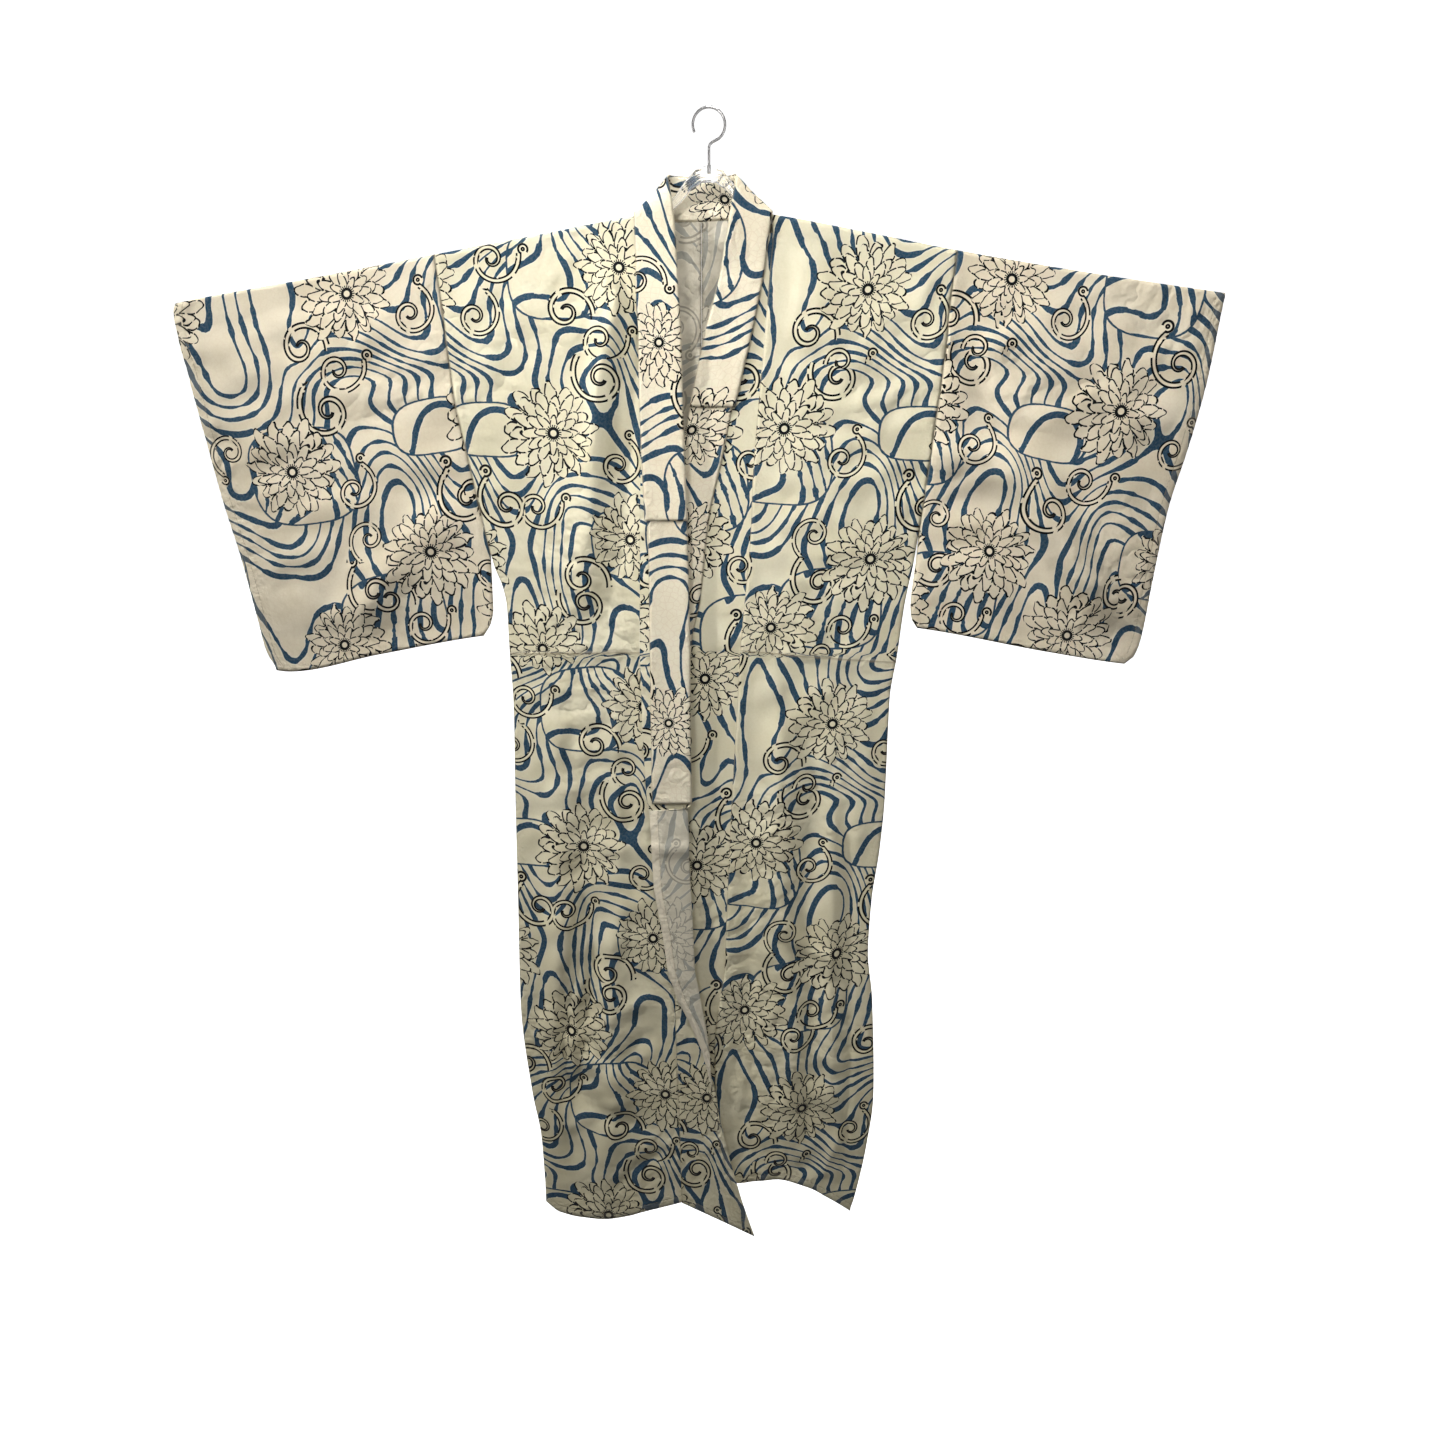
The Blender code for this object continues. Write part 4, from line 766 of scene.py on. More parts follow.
# Rings and ridges of the grain: across, down, radius across, radius down, turn in degrees, number of lines
GRAIN_KNOTS = [
    (6, 53.5, 5, 3.6, 10, 4), (23, 46, 4.2, 9, -8, 4.2), (24.5, 32, 8.5, 1.9, 4, 2.4),
    (13, 24.5, 1.5, 3.2, 12, -2), (14.5, 60.5, 2.6, 6.5, 6, -2.8), (3, 30, 4, 3, 0, -2.2),
    (37.4, 49, 3.6, 5.2, -6, 4.2), (46.5, 62, 4.4, 4.6, 20, 3.6), (33, 9, 5, 7, 30, -3),
    (44, 31, 1.4, 3, 0, 1.8), (31.5, 61.5, 2.8, 5.2, -14, -2.6), (41.5, 14, 5, 2.4, -35, 2.4),
    (9, 12, 3, 6.5, 18, 3.2), (25.5, 13, 6, 3, -18, -2.6), (48.5, 44, 3.2, 6, 38, -2.4),
]
# Patches where the lines run down the cloth: across, down, half width, half height
GRAIN_PATCHES = [
    (10, 41.5, 7.2, 6.2), (27.6, 38.6, 4.6, 3.2), (38, 19.5, 6.5, 6), (18, 3.5, 7, 5.2), (45, 53, 4.5, 4.2),
]

# Chrysanthemums of one repeat: across, down, turn in degrees, size
FLOWERS = [
    (10.5, 6, 20, 0.96), (19.8, 21.2, 200, 1), (10.5, 38, 95, 1.02), (23, 54.5, 300, 1.04),
    (35.5, 6, 140, 1), (44.8, 20, 40, 1), (36.2, 38.3, 230, 1.06), (47.2, 52.5, 75, 0.95),
]
# Where a flower lies elsewhere on a piece than in the repeat: piece and flower, across, down
FLOWER_SHIFTS = {
    ("body_left", 4): (-2.9, 3.4), ("body_left", 5): (0.9, -0.8), ("body_left", 6): (0.0, 0.8),
    ("body_left", 7): (-2.0, 0.0), ("sleeve_left", 2): (-2.0, 2.7), ("sleeve_left", 3): (1.6, -0.6),
    ("sleeve_left", 7): (-22.6, 1.4), ("sleeve_right", 5): (-25.0, 1.2), ("sleeve_right", 6): (0.1, -3.7),
}
# Flowers of the right overlap panel, which shows only as a narrow strip: across, down, turn in degrees, size
STRIP_FLOWERS = [
    (9.2, 8, 40, 0.95), (9.2, 34.7, 95, 1.05), (9.1, 48.5, 20, 0.95), (12, 69, 200, 1.02),
    (11.6, 95.5, 130, 1), (11, 124, 60, 1), (11, 150, 10, 1),
]
STRIP_CURLS = [(0, 2), (2, 3), (0, 3), (1, 2, 3), (0, 2, 3), (1, 2), (0, 2)]
# Tendrils of one flower, from its centre: across, down, turn in degrees, size, mirrored
CURLS = [
    (-6.9, 5.2, 35, 1.34, 1), (-2.8, 8.7, 100, 1.16, -1), (6.2, -6.2, 215, 1.36, 1),
    (7.5, 3.7, 150, 1.12, -1), (-7.4, -3, 330, 1.02, -1),
]
CURLS_SHOWN = [(0, 2, 3), (0, 1, 3), (2, 3, 4), (1, 2, 4), (0, 1, 2), (0, 1, 2), (1, 2, 3), (0, 2, 3)]


def wrapped(distance, period):
    return distance - period * np.round(distance / period)


def knots(u, v):
    total = np.zeros(np.shape(u))
    for across, down, wide, high, degrees, lines in GRAIN_KNOTS:
        du = wrapped(u - across, TILE_WIDE)
        dv = wrapped(v - down, TILE_LONG)
        c, s = math.cos(math.radians(degrees)), math.sin(math.radians(degrees))
        reach = ((du * c + dv * s) / wide) ** 2 + ((dv * c - du * s) / high) ** 2
        total = total + lines * np.exp(-0.62 * reach**0.8)
    return total


def wander(u, v, seed):
    """Smooth unevenness that repeats with the tile."""
    total = np.zeros(np.shape(u))
    random = np.random.default_rng(seed)
    for across, down in ((1, 1), (2, 1), (1, 2), (2, 3), (3, 2), (3, 4), (4, 3), (5, 5)):
        for sign in (-1, 1):
            phase = random.uniform(0, TURN)
            strength = random.uniform(0.5, 1.0) / (across + down) ** 1.05
            wave = TURN * (sign * across * u / TILE_WIDE + down * v / TILE_LONG) + phase
            total = total + strength * np.sin(wave)
    return total


def sweeping_grain(u, v):
    waves = 2.0 * np.sin(TURN * (u / 25.0 + 0.62) + 0.8 * np.sin(TURN * v / TILE_LONG))
    return 14 * v / TILE_LONG + waves + knots(u, v) + 1.2 * wander(u, v, 5)


def upright_grain(u, v):
    bend = 1.4 * np.sin(TURN * (v / TILE_LONG * 2 + 0.15) + 1.2 * np.sin(TURN * u / 25.0))
    return 17 * u / TILE_WIDE + bend + 0.5 * knots(u, v) + 0.6 * wander(u, v, 9)


def patch_depth(u, v):
    """Depth inside the nearest patch, positive inside it."""
    best = np.full(np.shape(u), -9.0)
    for across, down, wide, high in GRAIN_PATCHES:
        du = np.abs(wrapped(u - across, TILE_WIDE)) / wide
        dv = np.abs(wrapped(v - down, TILE_LONG)) / high
        best = np.maximum(best, (1 - (du**3 + dv**3) ** (1 / 3)) * min(wide, high))
    return best + 0.5 * wander(u, v, 3)


def line_spacing(field, u, v):
    step = 0.1
    a = (field(u + step, v) - field(u - step, v)) / (2 * step)
    b = (field(u, v + step) - field(u, v - step)) / (2 * step)
    return 1 / np.clip(np.hypot(a, b), 0.16, 2.5)


def motif_places(u, v, places, tiled):
    """For each face, where its corners lie in the frame of the nearest motif."""
    middle_u = u.mean(axis=1)
    middle_v = v.mean(axis=1)
    best = np.full(len(middle_u), 1e9)
    local = np.full(u.shape + (2,), 50.0)
    for across, down, degrees, size, mirrored in places:
        shift_u = middle_u - across
        shift_v = middle_v - down
        if tiled:
            shift_u = wrapped(shift_u, TILE_WIDE)
            shift_v = wrapped(shift_v, TILE_LONG)
        distance = np.hypot(shift_u, shift_v) / size
        nearer = distance < best
        best = np.where(nearer, distance, best)
        du = (shift_u[:, None] + u - middle_u[:, None]) / size
        dv = -(shift_v[:, None] + v - middle_v[:, None]) / size
        c, s = math.cos(math.radians(degrees)), math.sin(math.radians(degrees))
        x = (du * c + dv * s) * mirrored
        y = dv * c - du * s
        local = np.where(nearer[:, None, None], np.stack([x, y], axis=2), local)
    return local


def tile_flowers(piece):
    """Flowers of one repeat as they lie on a piece; a flower left out is moved onto its neighbour's place."""
    places = []
    for i, (across, down, degrees, size) in enumerate(FLOWERS):
        shift_across, shift_down = FLOWER_SHIFTS.get((piece, i), (0.0, 0.0))
        places.append((across + shift_across, down + shift_down, degrees, size, 1))
    return places


def curls_round(flowers, shown):
    places = []
    for (across, down, _, size, _), which in zip(flowers, shown):
        for i in which:
            du, dv, turn, curl_size, mirrored = CURLS[i]
            places.append((across + du * size, down + dv * size, turn, curl_size, mirrored))
    return places


# Cloth shells

CLOTH_HALF = 0.035


def edge_ways(grid, seams=(), hems=(), above_tuck=None):
    """Distance in cm to the nearest seam and to the nearest hem, and height above the waist tuck."""
    across = unrolled(grid)
    along = unrolled(grid.transpose(1, 0, 2)).T
    ways = {"first": across, "last": across[:, -1:] - across, "top": along, "foot": along[-1:] - along}
    far = np.full(across.shape, 90.0)
    seam = np.minimum.reduce([ways[key] for key in seams] + [far])
    hem = np.minimum.reduce([ways[key] for key in hems] + [far])
    return np.stack([seam, hem, far if above_tuck is None else above_tuck], axis=2)


def unrolled(grid):
    steps = np.linalg.norm(np.diff(grid, axis=1), axis=2)
    return np.concatenate([np.zeros((len(grid), 1)), np.cumsum(steps, axis=1)], axis=1)


def front_sign(normals):
    """Which way the grid's normals point towards the viewer."""
    return -1.0 if normals[:, :, 1].mean() > 0 else 1.0


def add_object(name, data):
    thing = bpy.data.objects.new(name, data)
    bpy.context.scene.collection.objects.link(thing)
    return thing


def add_layer(mesh, name, values):
    """Gives both sides of the cloth the same three values at each point."""
    values = values.astype(np.float32)
    attribute = mesh.attributes.new(name, "FLOAT_VECTOR", "POINT")
    attribute.data.foreach_set("vector", np.concatenate([values, values]).ravel())


def cloth_shell(
    name, grid, uv, outward, edges, flowers, materials, shown=CURLS_SHOWN, half=CLOTH_HALF, tiled=True
):
    """A thin closed shell round a middle surface, with the print's layers laid on it."""
    name = name + "_cloth"
    normals = grid_normals(grid) * outward
    half = np.broadcast_to(half, grid.shape[:2])[:, :, None]
    outer = grid + normals * half
    inner = grid - normals * half
    row_count, column_count = grid.shape[:2]
    size = row_count * column_count
    vertices = np.concatenate([outer.reshape(-1, 3), inner.reshape(-1, 3)]) * CM
    index = np.arange(size).reshape(row_count, column_count)
    a = index[:-1, :-1].ravel()
    b = index[:-1, 1:].ravel()
    d = index[1:, :-1].ravel()
    e = index[1:, 1:].ravel()
    quads = [np.stack([a, b, e, d], 1), np.stack([a, d, e, b], 1) + size]
    rims = (
        (index[:-1, 0], index[1:, 0], True),
        (index[:-1, -1], index[1:, -1], False),
        (index[0, :-1], index[0, 1:], False),
        (index[-1, :-1], index[-1, 1:], True),
    )
    for first, second, flip in rims:
        rim = np.stack([first, second, second + size, first + size], 1)
        quads.append(rim if flip else rim[:, ::-1])
    sides = np.concatenate([[0] * len(a), [1] * len(a), [0] * sum(len(q) for q in quads[2:])])
    faces = np.concatenate(quads)
    if outward < 0:
        faces = faces[:, ::-1]
    mesh = bpy.data.meshes.new(name)
    mesh.from_pydata(vertices.tolist(), [], faces.tolist())
    for material in materials:
        mesh.materials.append(material)
    mesh.polygons.foreach_set("material_index", sides.astype(np.int32))
    mesh.polygons.foreach_set("use_smooth", np.ones(len(faces), bool))
    lay_print(mesh, faces, uv.reshape(-1, 2), flowers, curls_round(flowers, shown), tiled)
    add_layer(mesh, "edges", edges.reshape(-1, 3))
    mesh.update()
    return add_object(name, mesh)


def lay_print(mesh, faces, uv, flowers, curls, tiled):
    u, v = uv[:, 0], uv[:, 1]
    depth = patch_depth(u, v)
    layers = {
        "grain_sweep": (sweeping_grain(u, v), line_spacing(sweeping_grain, u, v), depth),
        "grain_upright": (upright_grain(u, v), line_spacing(upright_grain, u, v), depth),
    }
    for name, columns in layers.items():
        add_layer(mesh, name, np.stack(columns, 1))
    both = np.concatenate([uv, uv])
    corner_u = both[faces, 0]
    corner_v = both[faces, 1]
    corners = {
        "cloth": np.stack([corner_u, corner_v], axis=2),
        "flower": motif_places(corner_u, corner_v, flowers, tiled),
        "curl": motif_places(corner_u, corner_v, curls, tiled),
    }
    for name, values in corners.items():
        layer = mesh.uv_layers.new(name=name)
        layer.data.foreach_set("uv", values.astype(np.float32).ravel())


# Print material

CREAM = (0.795, 0.718, 0.562)
CREAM_DEEP = (0.690, 0.606, 0.440)
BODY_CREAM = (0.775, 0.727, 0.548)
BODY_DEEP = (0.680, 0.624, 0.432)
SLATE_BLUE = (0.018, 0.056, 0.100)
BRUSH_BLACK = (0.006, 0.006, 0.007)
HALO = (0.800, 0.780, 0.660)
WRONG_SIDE = (0.710, 0.662, 0.540)
WRONG_DEEP = (0.610, 0.565, 0.450)
COLLAR_CREAM = (0.850, 0.785, 0.615)
COLLAR_DEEP = (0.760, 0.675, 0.500)
# Painted shade: towards the hem the ground turns to this darker khaki
KHAKI_SHADE = (0.600, 0.520, 0.290)
VEIN = (0.560, 0.360, 0.230)

# How far the hems are turned in, and the colour of the painted shade in the seams and under the waist tuck,
# which also draws the hems' stitches
HEM_WIDTH = 1.1
SEAM_SHADE = (0.330, 0.270, 0.165)

# Rings of petals from the outermost to the innermost: reach in cm, petals, phase
PETAL_RINGS = [(5.9, 17, 0.1), (4.8, 15, 0.6), (3.6, 12, 0.2), (2.4, 8, 0.7)]
PETAL_LENGTH = 2.9
PETAL_HALF_WIDTH = 0.78

# Small counter-curl at the outer end of a tendril
HOOK_PLACE = (-0.35, -3.62)

# Sides of the cloth: ground, worn ground, strength of the print, painted shade that turns the ground darker
# and khaki towards the hem, veins, hem, roughness
COTTONS = {
    "cotton_right_side": (BODY_CREAM, BODY_DEEP, 1.0, 0.25, 0.03, 0.10, 0.88),
    "sleeve_right_side": (CREAM, CREAM_DEEP, 1.0, 0.0, 0.06, 0.10, 0.88),
    "cotton_wrong_side": (WRONG_SIDE, WRONG_DEEP, 0.42, 0.1, 0.0, 0.70, 0.92),
    "collar_right_side": (COLLAR_CREAM, COLLAR_DEEP, 1.0, 0.0, 0.16, 0.0, 0.86),
}


class Maths:
    """Writes maths nodes into a node tree."""

    def __init__(self, tree):
        self.tree = tree

    def node(self, kind, **settings):
        node = self.tree.nodes.new(kind)
        for key, value in settings.items():
            setattr(node, key, value)
        return node

    def put(self, socket, value):
        if isinstance(value, bpy.types.NodeSocket):
            self.tree.links.new(value, socket)
        else:
            socket.default_value = value

    def __call__(self, operation, *values):
        node = self.node("ShaderNodeMath", operation=operation)
        for socket, value in zip(node.inputs, values):
            self.put(socket, value)
        return node.outputs[0]

    def ramp(self, value, start, end):
        """Smoothly from 0 at start to 1 at end."""
        node = self.node("ShaderNodeMapRange", interpolation_type="SMOOTHSTEP")
        self.put(node.inputs["Value"], value)
        self.put(node.inputs["From Min"], start)
        self.put(node.inputs["From Max"], end)
        return node.outputs["Result"]

    def mix(self, share, first, second):
        node = self.node("ShaderNodeMix", data_type="RGBA")
        self.put(node.inputs[0], share)
        self.put(node.inputs[6], first)
        self.put(node.inputs[7], second)
        return node.outputs[2]

    def blend(self, share, first, second):
        node = self.node("ShaderNodeMix", data_type="FLOAT")
        self.put(node.inputs[0], share)
        self.put(node.inputs[2], first)
        self.put(node.inputs[3], second)
        return node.outputs[0]

    def noise(self, vector, scale, detail=1.0):
        node = self.node("ShaderNodeTexNoise", noise_dimensions="2D")
        self.put(node.inputs["Vector"], vector)
        self.put(node.inputs["Scale"], scale)
        self.put(node.inputs["Detail"], detail)
        return node.outputs["Fac"]

    def clouds(self, scale, detail=2.0):
        """Noise fixed to the object."""
        node = self.node("ShaderNodeTexNoise")
        self.put(node.inputs["Vector"], self.node("ShaderNodeTexCoord").outputs["Object"])
        node.inputs["Scale"].default_value = scale
        node.inputs["Detail"].default_value = detail
        return node.outputs["Fac"]

    def join(self, x, y):
        node = self.node("ShaderNodeCombineXYZ")
        self.put(node.inputs[0], x)
        self.put(node.inputs[1], y)
        return node.outputs[0]

    def length(self, vector):
        node = self.node("ShaderNodeVectorMath", operation="LENGTH")
        self.put(node.inputs[0], vector)
        return node.outputs["Value"]

    def scaled(self, vector, factors):
        node = self.node("ShaderNodeVectorMath", operation="MULTIPLY")
        self.put(node.inputs[0], vector)
        self.put(node.inputs[1], factors)
        return node.outputs[0]

    def split(self, vector):
        node = self.node("ShaderNodeSeparateXYZ")
        self.put(node.inputs[0], vector)
        return node.outputs

    def layer(self, name):
        return self.node("ShaderNodeUVMap", uv_map=name).outputs[0]

    def attribute(self, name):
        return self.split(self.node("ShaderNodeAttribute", attribute_name=name).outputs["Vector"])


def grain_ink(m, cloth):
    """Slate-blue lines, thick and thin, and the pale halo beside them."""
    sweep, sweep_space, depth = m.attribute("grain_sweep")
    upright, upright_space, _ = m.attribute("grain_upright")
    inside = m("GREATER_THAN", depth, 0.0)
    level = m.blend(inside, sweep, upright)
    space = m.blend(inside, sweep_space, upright_space)
    off_line = m("ABSOLUTE", m("SUBTRACT", m("FRACT", level), 0.5))
    distance = m("MULTIPLY", off_line, space)
    ragged = m("MULTIPLY", m("SUBTRACT", m.noise(cloth, 1.5, 1.0), 0.5), 0.08)
    distance = m("ADD", distance, ragged)
    swell = m.ramp(m.noise(cloth, 0.33), 0.35, 0.70)
    bead = m("MULTIPLY", m.ramp(m.noise(cloth, 0.75), 0.50, 0.66), m("MULTIPLY_ADD", inside, 0.75, 0.25))
    width = m("MULTIPLY_ADD", swell, 0.165, 0.090)
    width = m("MULTIPLY", width, m("MULTIPLY_ADD", bead, 0.75, 0.90))
    half = m("MINIMUM", m("MAXIMUM", m("MULTIPLY", width, space), 0.105), 0.42)
    past = m("SUBTRACT", distance, half)
    ink = m.ramp(past, 0.022, -0.022)
    rim = m("ADD", m("ABSOLUTE", depth), ragged)
    ink = m("MAXIMUM", ink, m.ramp(rim, 0.13, 0.09))
    halo = m.ramp(past, 0.15, 0.05)
    return ink, halo


def petal_ring(m, radius, angle, reach, petals, phase, stroke):
    """Inside of one ring of petals, and the outline of each petal."""
    count = m("MULTIPLY_ADD", angle, petals / TURN, phase)
    share = m("SUBTRACT", m("FRACT", count), 0.5)
    nudge = m("MULTIPLY", m("SINE", m("MULTIPLY", m("FLOOR", count), 2.4)), 0.32)
    half_width = min(PETAL_HALF_WIDTH, 0.46 * TURN * (reach - 0.9) / petals)
    middle_reach = m("ADD", nudge, reach)
    aside = m("MULTIPLY", m("ABSOLUTE", share), m("MULTIPLY", radius, TURN / petals))
    past_middle = m("SUBTRACT", radius, m("SUBTRACT", middle_reach, PETAL_LENGTH / 2))
    place = m.join(m("DIVIDE", aside, half_width), m("DIVIDE", past_middle, PETAL_LENGTH / 2))
    level = m.length(place)
    slope = m.length(m.scaled(place, (1 / half_width, 2 / PETAL_LENGTH, 0.0)))
    within = m("DIVIDE", m("MULTIPLY", m("SUBTRACT", 1.0, level), level), m("MAXIMUM", slope, 0.01))
    inside = m("GREATER_THAN", within, 0.0)
    line = m.ramp(within, m("ADD", stroke, 0.03), m("SUBTRACT", stroke, 0.02))
    half_petal = m("FLOOR", m("MULTIPLY", count, 2.0))
    dash = m("FRACT", m("MULTIPLY_ADD", radius, 0.72, m("MULTIPLY", half_petal, 0.618)))
    return inside, m("MULTIPLY", line, m.ramp(dash, 0.10, 0.13))


def flower_ink(m):
    """A chrysanthemum: the cream that covers the grain, and its broken brush outlines."""
    place = m.layer("flower")
    x, y, _ = m.split(place)
    radius = m.length(place)
    jitter = m("SUBTRACT", m.noise(place, 0.55), 0.5)
    angle = m("ADD", m("ARCTAN2", y, x), m("MULTIPLY", jitter, 0.10))
    lobes = m("MULTIPLY_ADD", m("COSINE", m("ADD", angle, 0.9)), 0.10, 1.0)
    lobes = m("MULTIPLY_ADD", jitter, 0.30, lobes)
    round_radius = m("DIVIDE", radius, m.blend(m.ramp(radius, 0.8, 2.5), 1.0, lobes))
    brush = m.noise(place, 1.1)
    stroke = m("MULTIPLY_ADD", brush, 0.09, 0.135)
    cover = None
    for reach, petals, phase in PETAL_RINGS:
        inside, line = petal_ring(m, round_radius, angle, reach, petals, phase, stroke)
        if cover is None:
            cover = inside
            ink = m("MULTIPLY", line, inside)
        else:
            cover = m("MAXIMUM", cover, inside)
            ink = m.blend(inside, ink, line)
    ring = m.ramp(m("ABSOLUTE", m("SUBTRACT", radius, 0.55)), 0.20, 0.15)
    ticks = m("GREATER_THAN", m("COSINE", m("MULTIPLY", angle, 21.0)), -0.1)
    ticks = m("MULTIPLY", ticks, m.ramp(m("ABSOLUTE", m("SUBTRACT", radius, 0.80)), 0.22, 0.17))
    heart = m("LESS_THAN", radius, 1.02)
    ink = m.blend(heart, ink, m("MAXIMUM", ring, ticks))
    return m("MULTIPLY", cover, m("LESS_THAN", radius, 9.0)), ink


def curl_ink(m):
    """A tendril: a band between two broken lines that winds in to a small hook."""
    place = m.layer("curl")
    x, y, _ = m.split(place)
    radius = m("MAXIMUM", m.length(place), 0.05)
    angle = m("ARCTAN2", y, x)
    winding = m("DIVIDE", m("LOGARITHM", m("DIVIDE", radius, 2.25), math.e), -0.20)
    turns = m("ROUND", m("DIVIDE", m("SUBTRACT", winding, angle), TURN))
    along = m("MULTIPLY_ADD", turns, TURN, angle)
    curve = m("MULTIPLY", m("EXPONENT", m("MULTIPLY", along, -0.20)), 2.25)
    aside = m("ABSOLUTE", m("SUBTRACT", radius, curve))
    room = m("MINIMUM", m("MULTIPLY", curve, 0.20), 0.23)
    present = m("MULTIPLY", m("GREATER_THAN", along, -1.6), m("LESS_THAN", along, 8.4))
    band = m("MULTIPLY", m("LESS_THAN", aside, m("ADD", room, 0.09)), present)
    line = m.ramp(m("ABSOLUTE", m("SUBTRACT", aside, room)), 0.125, 0.085)
    whole = m.ramp(m.noise(place, 1.3), 0.30, 0.34)
    line = m("MULTIPLY", m("MULTIPLY", line, band), whole)
    hook_x = m("SUBTRACT", x, HOOK_PLACE[0])
    hook_y = m("SUBTRACT", y, HOOK_PLACE[1])
    hook_radius = m.length(m.join(hook_x, hook_y))
    open_side = m("GREATER_THAN", m("ABSOLUTE", m("ARCTAN2", hook_y, hook_x)), 0.7)
    hook_ring = m.ramp(m("ABSOLUTE", m("SUBTRACT", hook_radius, 0.50)), 0.14, 0.09)
    hook_dot = m.ramp(m("ABSOLUTE", m("SUBTRACT", hook_radius, 0.14)), 0.12, 0.08)
    hook = m("MAXIMUM", m("MULTIPLY", hook_ring, open_side), hook_dot)
    band = m("MAXIMUM", band, m("LESS_THAN", hook_radius, 0.62))
    return band, m("MAXIMUM", line, hook)


PRINT_INPUTS = ("Ground", "Deep", "Strength", "Low_shade", "Vein", "Hem")


